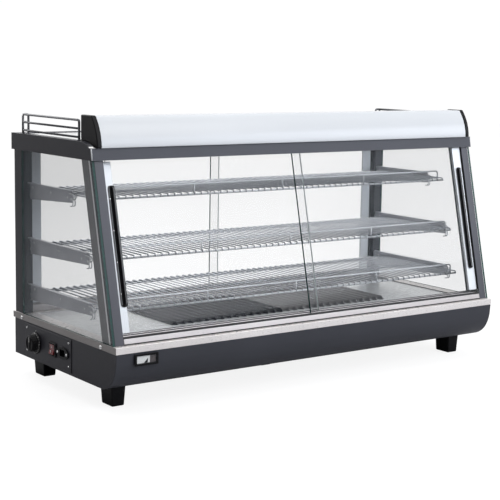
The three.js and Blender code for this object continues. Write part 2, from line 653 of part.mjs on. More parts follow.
// Turned knob with its shaft, drawn along +Y and laid over to point out of the left end.
function addKnob() {
  const base = 0.6;             // clears the plate and the bush
  const bevel = 1.5;
  const { radius, face, depth, skirt, shaft } = KNOB;
  const profile = [[0, -shaft], [SHAFT_RADIUS, -shaft], [SHAFT_RADIUS, base], [radius, base],
    [radius, base + skirt], [face + 2, base + skirt + 2], [face, depth - bevel],
    [face - bevel, depth], [0, depth]];
  const turned = new THREE.LatheGeometry(profile.map(([r, h]) => new THREE.Vector2(r, h)), 24);
  const knob = add('thermostat_knob', turned, 'blackPlastic');
  knob.position.set(PLATE_FACE, fromFront(KNOB.y), KNOB.z);
  knob.rotation.z = Math.PI / 2;
}

function switchHousing() {
  const face = PLATE_FACE - GAP;
  const outer = face - FLANGE_THICKNESS;
  const bezel = through(SWITCH, SWITCH.width, SWITCH.height, outer, face);
  const body = through(SWITCH, SWITCH.bodyWidth, SWITCH.bodyHeight, face - LAP, face + SWITCH.bodyDepth);
  const pocket = through(SWITCH, SWITCH.pocketWidth, SWITCH.pocketHeight, outer - LAP,
    face + SWITCH.pocketDepth);
  return cut(join(bezel, body), pocket);
}

const ROCKER_AXIS = PLATE_FACE + 2;
const ROCKER = { half: 11.9, width: 22, back: 4, edge: -5, crest: -8, dip: -5.5 };

// A shallow V seen from the side, tipped one way at rest.
function addRocker() {
  const { half, width, back, edge, crest, dip } = ROCKER;
  const profile = [[back, -half / 2], [back, half / 2], [edge, half], [crest, half], [dip, 0],
    [crest, -half], [edge, -half]];
  const rocker = add('switch_rocker', alongY(profile.reverse(), -width / 2, width / 2), 'redPlastic');
  rocker.position.set(ROCKER_AXIS, fromFront(SWITCH.y), SWITCH.z);
  rocker.rotation.y = ROCKER_TILT;
}

// Appliance inlet: oval flange, sunk socket and three blades.
function powerInlet() {
  const face = PLATE_FACE - GAP;
  const flange = new THREE.CylinderGeometry(INLET.width / 2, INLET.width / 2, FLANGE_THICKNESS, 24)
    .rotateZ(Math.PI / 2).scale(1, 1, INLET.height / INLET.width)
    .translate(face - FLANGE_THICKNESS / 2, fromFront(INLET.y), INLET.z);
  const body = through(INLET, INLET.bodyWidth, INLET.bodyHeight, face - LAP, face + INLET.bodyDepth);
  const socket = through(INLET, INLET.socketWidth, INLET.socketHeight,
    face - FLANGE_THICKNESS - LAP, face + INLET.socketDepth);
  const blades = BLADE.places.map(([y, z]) => through({ y: INLET.y + y, z: INLET.z + z },
    BLADE.thickness, BLADE.height, face + BLADE.start, face + BLADE.start + BLADE.depth));
  const shell = cut(join(flange, body), socket);
  return join(shell, ...blades);
}

// Rectangular panel meter in the front panel's window.
function thermometer() {
  const seat = fromFront(-1.2);
  const front = seat - METER.bezel;
  const bezel = meterBox(METER.width, METER.height, front, seat);
  const body = meterBox(METER.bodyWidth, METER.bodyHeight, seat - LAP, fromFront(METER.bodyRear));
  const window = meterBox(METER.cardWidth, METER.cardHeight, front - LAP, front + METER.cardDepth);
  return cut(join(bezel, body), window);
}

// ---------------------------------------------------------------- assembly
add('base_front_panel', frontPanel(), 'charcoal');
add('base_rear_panel', rearPanel(), 'charcoal');
add('base_bottom_panel', bottomPanel(), 'galvanised');
add('heat_shield', heatShield(), 'galvanised');
add('trim_frame', trimFrame(), 'steel');
add('floor_deck', floorDeck(), 'brightSteel');
addFeet();
add('front_track_bottom', frontTrackBottom(), 'steel');
add('front_track_top', frontTrackTop(), 'galvanised');
add('rear_track_bottom', rearTrack(POST_FOOT, TRACK_TOP, REAR_PANE_BOTTOM - PANE_SEAT,
  REAR_PANE_BOTTOM + GROOVE_RUN), 'steel');
add('rear_track_top', rearTrack(HEAD_BOTTOM, HEAD_TOP, REAR_PANE_TOP - GROOVE_RUN,
  REAR_PANE_TOP + PANE_LIFT), 'galvanised');
add('top_frame', topFrame(), 'charcoal');
add('roof_panel', roofPanel(), 'galvanised');
add('canopy_cover', canopyCover(), 'white');
add('lamp_fixture', lampFixture(), 'white');
add('lamp_tube', lampTube(), 'lamp');
for (const { name, sign } of SIDES) {
  add(`base_side_panel_${name}`, sidePanel(sign), 'charcoal');
  add(`heating_element_${name}`, heatingElement(sign), 'elementSheath');
  add(`heat_plate_${name}`, heatPlate(sign), 'ribbedPlate');
  add(`front_post_${name}`, frontPost(sign), 'charcoal');
  add(`rear_post_${name}`, rearPost(sign), 'charcoal');
  add(`side_glass_${name}`, sideGlass(sign), 'glass');
  add(`canopy_end_cap_${name}`, canopyEndCap(sign), 'blackPlastic');
  add(`gallery_${name}`, gallery(sign), 'chromeWire');
  for (const shape of SHELVES) {
    add(`shelf_bracket_${shape.name}_${name}`, shelfBracket(shape, sign), 'bracketSteel');
  }
}
for (const shape of SHELVES) {
  add(`shelf_${shape.name}`, shelf(shape), 'chromeWire');
}
addFrontDoor('right', 1, PANE_DEPTH);
addFrontDoor('left', -1, PANE_DEPTH + PANE_PITCH);
addRearDoor('right', 1, REAR_INNER_PANE);
addRearDoor('left', -1, REAR_INNER_PANE + PANE_PITCH);
add('control_plate', controlPlate(), 'charcoal');
add('thermostat', thermostat(), 'galvanised');
addKnob();
add('switch_housing', switchHousing(), 'blackPlastic');
addRocker();
add('power_inlet', powerInlet(), 'blackPlastic');
add('thermometer', thermometer(), 'blackPlastic');

export default root;
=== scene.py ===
"""Looks of a countertop hot food display case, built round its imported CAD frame.

Metres, +X to the right, +Y to the back, +Z up. Sizes and places come from the frame's boxes.
"""

import json
import math

import bmesh
import bpy
from mathutils import Matrix, Vector

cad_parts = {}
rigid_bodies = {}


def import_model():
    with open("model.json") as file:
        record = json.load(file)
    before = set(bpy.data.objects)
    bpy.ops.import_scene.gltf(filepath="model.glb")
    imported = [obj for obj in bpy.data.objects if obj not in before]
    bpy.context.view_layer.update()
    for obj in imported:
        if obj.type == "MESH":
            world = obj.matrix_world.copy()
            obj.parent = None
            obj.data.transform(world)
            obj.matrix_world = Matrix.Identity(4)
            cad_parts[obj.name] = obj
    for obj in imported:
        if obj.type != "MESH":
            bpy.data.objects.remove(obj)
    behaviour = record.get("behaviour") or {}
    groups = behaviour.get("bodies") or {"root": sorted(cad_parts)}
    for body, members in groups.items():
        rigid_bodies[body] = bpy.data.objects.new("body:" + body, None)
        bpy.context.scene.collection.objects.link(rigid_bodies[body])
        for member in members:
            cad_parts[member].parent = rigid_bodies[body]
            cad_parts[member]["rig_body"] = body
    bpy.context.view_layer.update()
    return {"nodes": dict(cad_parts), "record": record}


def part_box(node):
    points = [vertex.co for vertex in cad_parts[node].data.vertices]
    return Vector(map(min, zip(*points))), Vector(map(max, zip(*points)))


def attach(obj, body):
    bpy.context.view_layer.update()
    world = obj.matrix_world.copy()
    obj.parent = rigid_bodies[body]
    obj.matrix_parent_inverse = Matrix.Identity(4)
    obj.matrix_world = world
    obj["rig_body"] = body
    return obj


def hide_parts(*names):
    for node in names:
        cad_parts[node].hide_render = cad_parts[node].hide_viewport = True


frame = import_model()
NODES = frame["nodes"]
SLOT_OF = {s["node"]: s["material_slot"] for s in frame["record"]["subparts"]}
SIDES = (("left", -1), ("right", 1))
SHELVES = ("top", "middle", "bottom")
MM = 0.001
LOOKS_ALONG = 0.9       # a face looks along an axis when its normal's share of it is above this


# ------------------------------------------------------------------ materials

WORN_BEND = 0.78        # agreement of the rounded and the true normal on a fully worn edge
SOUND_BEND = 0.985      # and where the wear ends
GRAIN_SHARE = 0.6       # how much of the grain's darker tint shows
GRAIN_DEEPER = 1.6      # the grain's tint is this much deeper than the drift's
GRAIN_HEIGHT = 0.4 * MM


class Shader:
    """A material's node tree round one Principled shader."""

    def __init__(self, name):
        self.material = bpy.data.materials.new(name)
        self.material.use_nodes = True
        self.tree = self.material.node_tree
        self.tree.nodes.clear()
        self.principled = self.add("ShaderNodeBsdfPrincipled")
        self.output = self.add("ShaderNodeOutputMaterial")
        self.link(self.principled, "BSDF", self.output, "Surface")
        self.place = self.add("ShaderNodeTexCoord")

    def add(self, kind, **settings):
        node = self.tree.nodes.new(kind)
        for key, value in settings.items():
            setattr(node, key, value)
        return node

    def link(self, source, output, target, entry):
        self.tree.links.new(source.outputs[output], target.inputs[entry])

    def constants(self, **values):
        for key, value in values.items():
            self.principled.inputs[key.replace("_", " ")].default_value = value

    def noise(self, scale, stretch=(1, 1, 1), detail=3.0):
        """Noise fixed to the piece, drawn out along the axes whose stretch is small."""
        mapping = self.add("ShaderNodeMapping")
        mapping.inputs["Scale"].default_value = stretch
        self.link(self.place, "Object", mapping, "Vector")
        noise = self.add("ShaderNodeTexNoise")
        noise.inputs["Scale"].default_value = scale
        noise.inputs["Detail"].default_value = detail
        self.link(mapping, "Vector", noise, "Vector")
        return noise

    def between(self, source, low, high, start=0.3, end=0.7):
        """source's range from start to end, spread over low to high."""
        spread = self.add("ShaderNodeMapRange")
        spread.inputs["From Min"].default_value = start
        spread.inputs["From Max"].default_value = end
        spread.inputs["To Min"].default_value = low
        spread.inputs["To Max"].default_value = high
        self.tree.links.new(source, spread.inputs["Value"])
        return spread.outputs["Result"]

    def blend_colours(self, factor, first, second):
        """first and second are colours or sockets."""
        mix = self.add("ShaderNodeMix", data_type="RGBA")
        self.tree.links.new(factor, mix.inputs["Factor"])
        for entry, value in (("A", first), ("B", second)):
            sockets = [s for s in mix.inputs if s.name == entry and s.type == "RGBA"]
            if isinstance(value, bpy.types.NodeSocket):
                self.tree.links.new(value, sockets[0])
            else:
                sockets[0].default_value = (*value, 1)
        return [s for s in mix.outputs if s.type == "RGBA"][0]

    def edges(self, radius):
        """How far each point is worn as an edge, 0 to 1."""
        bevel = self.add("ShaderNodeBevel", samples=4)
        bevel.inputs["Radius"].default_value = radius
        flat = self.add("ShaderNodeNewGeometry")
        dot = self.add("ShaderNodeVectorMath", operation="DOT_PRODUCT")
        self.link(bevel, "Normal", dot, 0)
        self.link(flat, "Normal", dot, 1)
        return self.between(dot.outputs["Value"], 1, 0, WORN_BEND, SOUND_BEND)


def shade(colour, factor):
    return tuple(min(1.0, c * factor) for c in colour)


def finish_of(name, colour, roughness, metallic=0.0, *, spread=0.08, cloud=7.0, grain=900.0,
              stretch=(1, 1, 1), bump=0.04, rough_spread=0.06, wear=0.0, wear_radius=1.5 * MM,
              **constants):
    """A surface with drifting colour, fine grain in its roughness and relief, and worn edges."""
    s = Shader(name)
    s.constants(Metallic=metallic, **constants)
    drift = s.noise(cloud, detail=4.0).outputs["Fac"]
    fine = s.noise(grain, stretch, detail=2.0).outputs["Fac"]
    darker, lighter = shade(colour, 1 - spread), shade(colour, 1 + spread)
    tint = s.blend_colours(s.between(drift, 0, 1), darker, lighter)
    darkest = shade(colour, 1 - GRAIN_DEEPER * spread)
    tint = s.blend_colours(s.between(fine, 0, GRAIN_SHARE), tint, darkest)
    if wear:
        light = tuple(c + (1 - c) * wear for c in colour)
        tint = s.blend_colours(s.edges(wear_radius), tint, light)
    s.tree.links.new(tint, s.principled.inputs["Base Color"])
    level = s.between(fine, roughness - rough_spread, roughness + rough_spread)
    s.tree.links.new(level, s.principled.inputs["Roughness"])
    relief = s.add("ShaderNodeBump")
    relief.inputs["Strength"].default_value = bump
    relief.inputs["Distance"].default_value = GRAIN_HEIGHT
    s.tree.links.new(fine, relief.inputs["Height"])
    s.link(relief, "Normal", s.principled, "Normal")
    return s.material


PANE_ALPHA = (0.04, 0.34)       # how much of each of a pane's two faces shows
PANE_FACING = (0.09, 0.41)      # between these slants, on the Layer Weight node's scale
PANE_BLEND = 0.2
HAZE_COLOURS = ((0.09, 0.11, 0.125), (0.13, 0.15, 0.165))
EDGE_COLOURS = ((0.004, 0.020, 0.018), (0.012, 0.060, 0.050))


def glass_face():
    """Clear pane: nearly unseen face on, denser at a slant."""
    s = Shader("pane_clear")
    s.constants(Metallic=0.0, IOR=1.5, Specular_IOR_Level=0.7)
    slant = s.add("ShaderNodeLayerWeight")
    slant.inputs["Blend"].default_value = PANE_BLEND
    smear = s.noise(5.0, detail=5.0).outputs["Fac"]
    haze = s.blend_colours(s.between(smear, 0, 1), *HAZE_COLOURS)
    s.tree.links.new(haze, s.principled.inputs["Base Color"])
    s.tree.links.new(s.between(smear, 0.01, 0.04), s.principled.inputs["Roughness"])
    alpha = s.between(slant.outputs["Facing"], *PANE_ALPHA, *PANE_FACING)
    s.tree.links.new(alpha, s.principled.inputs["Alpha"])
    return s.material


def glass_edge():
    """The ground edge of a pane, where the glass shows its green."""
    s = Shader("pane_edge")
    s.constants(Metallic=0.0, IOR=1.5, Specular_IOR_Level=0.15)
    fine = s.noise(300.0, detail=3.0).outputs["Fac"]
    green = s.blend_colours(s.between(fine, 0, 1), *EDGE_COLOURS)
    s.tree.links.new(green, s.principled.inputs["Base Color"])
    s.tree.links.new(s.between(fine, 0.12, 0.3), s.principled.inputs["Roughness"])
    return s.material


HORIZONTAL_BRUSH = (0.04, 0.04, 1.0)
UPRIGHT_BRUSH = (1, 1, 0.03)
POWDER_COAT = {"spread": 0.07, "grain": 1600, "bump": 0.10, "wear": 0.10, "Specular_IOR_Level": 0.35}
ENAMEL = {"grain": 700, "bump": 0.12, "wear": 0.10, "Specular_IOR_Level": 0.35}
BRUSHED = {"grain": 1800, "bump": 0.12, "stretch": HORIZONTAL_BRUSH, "rough_spread": 0.09}
EXTRUDED = {"grain": 1400, "bump": 0.08, "stretch": UPRIGHT_BRUSH}
PLATED = {"cloud": 40, "grain": 1500, "bump": 0.05}
MATERIALS = {
    "charcoal_paint": finish_of("charcoal_powder_coat", (0.041, 0.043, 0.053), 0.42, 0.25,
                                **POWDER_COAT),
    "steel_trim": finish_of("brushed_trim", (0.80, 0.765, 0.75), 0.34, 0.55, wear=0.35, **BRUSHED),
    "bright_steel": finish_of("bright_deck", (0.88, 0.90, 0.91), 0.24, 0.35, grain=1200, bump=0.03,
                              stretch=(0.03, 1, 1), spread=0.04),
    "galvanised": finish_of("dull_galvanised", (0.34, 0.35, 0.36), 0.48, 0.9, cloud=60, spread=0.16),
    "white_paint": finish_of("satin_white", (0.515, 0.535, 0.56), 0.32, 0.0, spread=0.02, cloud=3,
                             grain=1300, bump=0.03, Coat_Weight=0.25, Coat_Roughness=0.2),
    "black_plastic": finish_of("grained_black", (0.004, 0.004, 0.005), 0.40, 0.0, spread=0.2,
                               grain=2200, bump=0.30, wear=0.02, Specular_IOR_Level=0.14),
    "ribbed_plate": finish_of("dark_enamel", (0.020, 0.021, 0.027), 0.32, 0.7, spread=0.15, **ENAMEL),
    "chrome_wire": finish_of("plated_wire", (0.42, 0.44, 0.47), 0.28, 1.0, spread=0.10, **PLATED),
    "bracket_steel": finish_of("zinc_bracket", (0.56, 0.565, 0.60), 0.38, 0.5, spread=0.12, cloud=22,
                               grain=900, bump=0.08, wear=0.25),
    "clear_glass": glass_face(),
    "element_sheath": finish_of("burnt_sheath", (0.10, 0.088, 0.072), 0.5, 0.8, cloud=45, spread=0.3),
    "lamp_glass": finish_of("opal_tube", (0.88, 0.90, 0.86), 0.18, 0.0, spread=0.02, bump=0.01),
    "red_plastic": finish_of("red_lens", (0.13, 0.005, 0.008), 0.16, 0.0, spread=0.15, cloud=120,
                             bump=0.02, Coat_Weight=0.3, Coat_Roughness=0.06),
}
GREEN_EDGE = glass_edge()
SCREW = finish_of("bright_screw", (0.80, 0.80, 0.80), 0.22, 1.0, spread=0.1, cloud=300, bump=0.05)
RAIL_STEEL = finish_of("brushed_rail", (0.40, 0.375, 0.37), 0.36, 0.6, wear=0.25, **BRUSHED)
# a much darker copy of the plated wire: painted dark reflection on the galleries and the band clip
SHADE_PAINTED_WIRE = finish_of("gallery_plating_painted_dark", (0.105, 0.107, 0.115), 0.34, 0.9, spread=0.10, **PLATED)
RIVET = finish_of("zinc_rivet", (0.85, 0.86, 0.88), 0.35, 0.3, spread=0.06, cloud=300, bump=0.05)
ROOF = finish_of("brushed_roof", (0.66, 0.665, 0.67), 0.38, 0.8, grain=1400, bump=0.08,
                 stretch=HORIZONTAL_BRUSH, spread=0.05)
ALUMINIUM = finish_of("edge_strip", (0.58, 0.60, 0.62), 0.36, 0.35, spread=0.05, **EXTRUDED)
# a paler copy of the edge strip: painted light on the rear doors' strips, which get little light
LIGHT_PAINTED_STRIP = finish_of("light_painted_strip", (0.86, 0.90, 0.94), 0.42, 0.0, spread=0.04, **EXTRUDED)
# a darker copy of the charcoal coat: painted shade for faces turned away from the light
SHADED_COAT = finish_of("shade_painted_powder_coat", (0.018, 0.018, 0.024), 0.42, 0.25, **POWDER_COAT)
# a darker copy of the brushed trim: painted shade on the trim's end faces
SHADE_PAINTED_TRIM = finish_of("shade_painted_trim_side", (0.24, 0.225, 0.22), 0.38, 0.6, wear=0.35, **BRUSHED)
# a lighter copy of the plate enamel: painted light on the right heat plate
LIGHT_PAINTED_PLATE = finish_of("light_painted_enamel", (0.17, 0.17, 0.175), 0.36, 0.8, spread=0.12, **ENAMEL)
# a lighter, less metallic copy of the plated wire: painted light on the shelves' front rails
LIGHT_PAINTED_ROD = finish_of("light_painted_rod", (0.62, 0.64, 0.67), 0.30, 0.3, spread=0.08, **PLATED)
GLOSS_BLACK = finish_of("gloss_black", (0.004, 0.004, 0.005), 0.17, 0.0, spread=0.2, grain=2200,
                        bump=0.05, rough_spread=0.04, Specular_IOR_Level=0.45)
# the panes' +X sides painted pale: painted highlight
HIGHLIGHT_PANE_EDGE = finish_of("highlight_painted_pane_edge", (0.84, 0.92, 0.92), 0.20, 0.0, spread=0.05, cloud=60,
                      grain=300, bump=0.02)
SEAL = finish_of("black_seal", (0.012, 0.012, 0.013), 0.7, 0.0, spread=0.2, bump=0.3)
WHITE_MARK = finish_of("printed_white", (0.78, 0.78, 0.76), 0.5, 0.0, spread=0.05, bump=0.05)
DIAL_CARD = finish_of("dial_card", (0.80, 0.81, 0.80), 0.6, 0.0, spread=0.03, bump=0.02)
DIAL_SHADE = finish_of("dial_shade", (0.085, 0.070, 0.072), 0.5, 0.0, spread=0.15, bump=0.05)
# the side panels, control plate and left rear post take the charcoal coat with painted shade
NODE_FINISH = {"roof_panel": ROOF, "front_track_bottom": RAIL_STEEL, "rear_track_bottom": RAIL_STEEL,
               "base_side_panel_left": SHADED_COAT, "base_side_panel_right": SHADED_COAT,
               "control_plate": SHADED_COAT, "rear_post_left": SHADED_COAT}


# ------------------------------------------------------------------ mesh helpers


def add_piece(name, mesh, body, material, replaces=()):
    """Put a mesh in the scene on its body, in place of the CAD nodes it stands for."""
    piece = bpy.data.objects.new(name, mesh)
    bpy.context.scene.collection.objects.link(piece)
    mesh.materials.clear()
    mesh.materials.append(material)
    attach(piece, body)
    if replaces:
        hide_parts(*replaces)
    return piece


def made(name, build, body, material, replaces=(), smooth=True, transform=None):
    """A piece whose mesh is filled in by build(bm)."""
    bm = bmesh.new()
    build(bm)
    if transform is not None:
        bmesh.ops.transform(bm, matrix=transform, verts=bm.verts)
    bmesh.ops.recalc_face_normals(bm, faces=bm.faces)
    mesh = bpy.data.meshes.new(name)
    bm.to_mesh(mesh)
    bm.free()
    mesh.polygons.foreach_set("use_smooth", [smooth] * len(mesh.polygons))
    return add_piece(name, mesh, body, material, replaces)


def soften(piece, radius, segments=2, angle=35):
    """Round a piece's sharp edges and shade it by its large faces."""
    bevel = piece.modifiers.new("rounding", "BEVEL")
    bevel.width = radius
    bevel.segments = segments
    bevel.limit_method = "ANGLE"
    bevel.angle_limit = math.radians(angle)
    shading = piece.modifiers.new("shading", "WEIGHTED_NORMAL")
    shading.keep_sharp = False
    return piece


def rounded(node, radius, segments=2, angle=35, material=None, second=None):
    """A copy of a CAD node with rounded edges, in the node's place.

    second is (axis, material): the material of the faces that look along that axis.
    """
    bm = bmesh.new()
    bm.from_mesh(NODES[node].data)
    bmesh.ops.remove_doubles(bm, verts=bm.verts, dist=1e-5)
    bmesh.ops.dissolve_limit(bm, angle_limit=math.radians(1), verts=bm.verts, edges=bm.edges)
    mesh = bpy.data.meshes.new(node + "_shell")
    bm.to_mesh(mesh)
    bm.free()
    mesh.polygons.foreach_set("use_smooth", [True] * len(mesh.polygons))
    slot = SLOT_OF[node]
    material = material or NODE_FINISH.get(node, MATERIALS[slot])
    piece = add_piece(node + "_shell", mesh, NODES[node]["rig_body"], material, [node])
    if second:
        axis, other = second
        mesh.materials.append(other)
        for polygon in mesh.polygons:
            polygon.material_index = int(abs(polygon.normal[axis]) > LOOKS_ALONG)
    return soften(piece, radius, segments, angle)


def block(bm, low, high):
    """A plain box between two corners."""
    box = bmesh.ops.create_cube(bm, size=1)
    centre = (Vector(low) + Vector(high)) / 2
    size = Vector(high) - Vector(low)
    for vertex in box["verts"]:
        vertex.co = Vector(c * s for c, s in zip(vertex.co, size)) + centre


def angles(count):
    """count even steps once round."""
    return [2 * math.pi * k / count for k in range(count)]


def curve(start, turn, end, steps):
    """Points from start to end on a curve that leans towards turn."""
    shares = [i / steps for i in range(steps + 1)]
    return [start * (1 - t) ** 2 + turn * 2 * t * (1 - t) + end * t ** 2 for t in shares]


def directions(points):
    """The way a path runs at each of its points."""
    ahead = points[1:] + points[-1:]
    behind = points[:1] + points[:-1]
    return [(after - before).normalized() for after, before in zip(ahead, behind)]


def fillet(points, radius, steps=4):
    """The same path with each inner corner turned into a curve."""
    points = [Vector(p) for p in points]
    path = [points[0]]
    for before, corner, after in zip(points, points[1:], points[2:]):
        start = corner + (before - corner).normalized() * min(radius, (before - corner).length / 2)
        end = corner + (after - corner).normalized() * min(radius, (after - corner).length / 2)
        path += curve(start, corner, end, steps)
    return path + [points[-1]]


def tube(bm, points, radius, sides=8):
    """A round wire along points, closed at both ends."""
    points = [Vector(p) for p in points]
    runs = directions(points)
    across = runs[0].orthogonal().normalized()
    sections = []
    for point, run in zip(points, runs):
        across = (across - run * across.dot(run)).normalized()
        up = run.cross(across)
        sections.append([point + radius * (across * math.cos(a) + up * math.sin(a))
                         for a in angles(sides)])
    loft(bm, sections)


def loft(bm, sections):
    """Closed skin over matching rings of points, closed at both ends."""
    rings = [[bm.verts.new(p) for p in section] for section in sections]
    count = len(rings[0])
    for first, second in zip(rings, rings[1:]):
        for k in range(count):
            bm.faces.new((first[k], first[(k + 1) % count], second[(k + 1) % count], second[k]))
    bm.faces.new(rings[0][::-1])
    bm.faces.new(rings[-1])


def turned(bm, profile, origin, axis, sides=32):
    """A body of revolution: profile is (radius, height) pairs from the bottom up."""
    turn = Vector((0, 0, 1)).rotation_difference(Vector(axis)).to_matrix()
    sections = []
    for radius, height in profile:
        ring = [Vector((radius * math.cos(a), radius * math.sin(a), height)) for a in angles(sides)]
        sections.append([Vector(origin) + turn @ point for point in ring])
    loft(bm, sections)


def screw(bm, origin, axis, radius=3 * MM):
    """A domed head with a round recess sunk into its top."""
    turned(bm, [(radius, -0.4 * MM), (radius, 0.15 * radius), (0.86 * radius, 0.42 * radius),
                (0.5 * radius, 0.6 * radius), (0.34 * radius, 0.62 * radius),
                (0.2 * radius, 0.3 * radius)], origin, axis, 20)


# ------------------------------------------------------------------ the slanted front

POST_LOW, POST_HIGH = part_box("front_post_right")
POST_DEPTH = 60 * MM
SLANT = math.atan2(POST_HIGH.y - POST_LOW.y - POST_DEPTH, POST_HIGH.z - POST_LOW.z)
SLANTED = Matrix.Translation((0, POST_LOW.y, POST_LOW.z)) @ Matrix.Rotation(-SLANT, 4, "X")


def slanted_box(node):
    """A node's corners measured along and across the slanted plane."""
    inverse = SLANTED.inverted()
    points = [inverse @ v.co for v in NODES[node].data.vertices]
    return (Vector(min(p[i] for p in points) for i in range(3)),
            Vector(max(p[i] for p in points) for i in range(3)))


# ------------------------------------------------------------------ CAD nodes that stay


def dress_nodes():
    """Give every CAD node its finish, in case it stays in sight."""
    for name, node in NODES.items():
        node.data.materials.clear()
        node.data.materials.append(NODE_FINISH.get(name, MATERIALS[SLOT_OF[name]]))


def green_edges(node, face):
    """Give a pane's narrow sides their finish; face is its broad sides' direction.

    The side towards +X is painted pale as a painted highlight, the others are ground green.
    """
    mesh = NODES[node].data
    mesh.materials.append(GREEN_EDGE)
    mesh.materials.append(HIGHLIGHT_PANE_EDGE)
    for polygon in mesh.polygons:
        if abs(polygon.normal.dot(face)) > LOOKS_ALONG:
            polygon.material_index = 0
        else:
            polygon.material_index = 2 if polygon.normal.x > LOOKS_ALONG else 1


def dress_glass():
    slanted = SLANTED.to_3x3() @ Vector((0, 1, 0))
    for side, _ in SIDES:
        green_edges(f"side_glass_{side}", Vector((1, 0, 0)))
        green_edges(f"front_door_{side}_glass", slanted)
        green_edges(f"rear_door_{side}_glass", Vector((0, 1, 0)))


SHEET_EDGE = 0.7 * MM       # rounding of a folded sheet's edges


def round_shells():
    """Stand-ins with rounded edges for the sheets, housings, caps, feet and brackets."""
    for node in ("base_side_panel_left", "base_side_panel_right", "base_rear_panel", "front_track_top",
                 "rear_track_top", "rear_track_bottom", "control_plate", "base_front_panel"):
        rounded(node, SHEET_EDGE)
    # the front band's end faces take the charcoal coat with painted shade
    rounded("top_frame", SHEET_EDGE, second=(0, SHADED_COAT))
    # the trim's end faces take the brushed trim with painted shade
    rounded("trim_frame", SHEET_EDGE, second=(0, SHADE_PAINTED_TRIM))
    rounded("front_track_bottom", SHEET_EDGE, second=(2, SEAL))
    for node in ("switch_housing", "power_inlet", "thermometer"):
        rounded(node, 0.8 * MM)
    for node in ("canopy_end_cap_left", "canopy_end_cap_right"):
        rounded(node, 2.2 * MM, 4)
    for side, _ in SIDES:
        rounded(f"rear_post_{side}", 0.8 * MM)
        for row in ("front", "rear"):
            rounded(f"foot_{row}_{side}", 3 * MM, 3)
        for level in SHELVES:
            rounded(f"shelf_bracket_{level}_{side}", 0.5 * MM)
    rounded("foot_centre", 3 * MM, 3)


# ------------------------------------------------------------------ posts

HIGHLIGHT_FROM = 20.5 * MM       # where the painted highlight line starts, from the post's front edge
HIGHLIGHT_TO = 27 * MM
HIGHLIGHT_BLUR = 0.5 * MM
PAINT_COLOURS = ((0.034, 0.035, 0.044), (0.048, 0.049, 0.060))
BARE_COLOURS = ((0.215, 0.210, 0.210), (0.265, 0.260, 0.260))
# colour of the painted highlight: a bright line where the post's corner catches the light
HIGHLIGHT_COLOUR = (0.95, 0.94, 0.94)


def post_bands():
    """The post's outer side: paint at the front, a painted highlight line, then bare grey metal."""
    s = Shader("front_post_bands")
    s.constants(Metallic=0.3)
    split = s.add("ShaderNodeSeparateXYZ")
    s.link(s.place, "Object", split, "Vector")
    rise = s.add("ShaderNodeMath", operation="MULTIPLY_ADD")
    s.link(split, "Z", rise, 0)
    rise.inputs[1].default_value = -math.tan(SLANT)
    s.link(split, "Y", rise, 2)
    start = POST_LOW.y - POST_LOW.z * math.tan(SLANT)
    back = rise.outputs["Value"]
    fine = s.noise(1500.0).outputs["Fac"]
    paint = s.blend_colours(s.between(fine, 0, 1), *PAINT_COLOURS)
    bare = s.blend_colours(s.between(fine, 0, 1), *BARE_COLOURS)
    highlight_on = s.between(back, 0, 1, start + HIGHLIGHT_FROM, start + HIGHLIGHT_FROM + HIGHLIGHT_BLUR)
    highlight_off = s.between(back, 0, 1, start + HIGHLIGHT_TO, start + HIGHLIGHT_TO + HIGHLIGHT_BLUR)
    # the bright line laid over the paint is painted highlight
    tint = s.blend_colours(highlight_on, paint, HIGHLIGHT_COLOUR)
    tint = s.blend_colours(highlight_off, tint, bare)
    s.tree.links.new(tint, s.principled.inputs["Base Color"])
    s.tree.links.new(s.between(fine, 0.34, 0.46), s.principled.inputs["Roughness"])
    return s.material


def front_posts():
    bands = post_bands()
    for side, _ in SIDES:
        rounded(f"front_post_{side}", SHEET_EDGE, material=bands)


# ------------------------------------------------------------------ canopy and galleries

CREST = 0.37                # where the canopy's curve meets its flat top, as a share of the depth
SWELL = 0.54                # height of the point that the curve leans towards, as a share
CANOPY_STEPS = 28
REAR_LIP = 11.2 * MM        # how far above its front edge the sheet ends at the back


def canopy_cover():
    """A bent sheet that curves up from the front edge, runs flat and folds down at the back."""
    low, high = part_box("canopy_cover")
    sheet = 1.6 * MM

    def build(bm):
        start = Vector((low.y, low.z))
        turn = Vector((low.y + 1 * MM, low.z + SWELL * (high.z - low.z)))
        end = Vector((low.y + CREST * (high.y - low.y), high.z))
        fold = [Vector((high.y - 3 * MM, high.z)), Vector((high.y - 0.9 * MM, high.z - 0.9 * MM)),
                Vector((high.y, high.z - 3 * MM)), Vector((high.y, low.z + REAR_LIP))]
        outer = curve(start, turn, end, CANOPY_STEPS) + fold
        inner = [p + Vector((run.y, -run.x)) * sheet for p, run in zip(outer, directions(outer))]
        ring = outer + inner[::-1]
        loft(bm, [[Vector((x, p.x, p.y)) for p in ring] for x in (low.x, 0, high.x)])

    cover = made("canopy_sheet", build, "cabinet", MATERIALS["white_paint"],
                 ["canopy_cover"])
    soften(cover, 0.4 * MM, 1, 50)


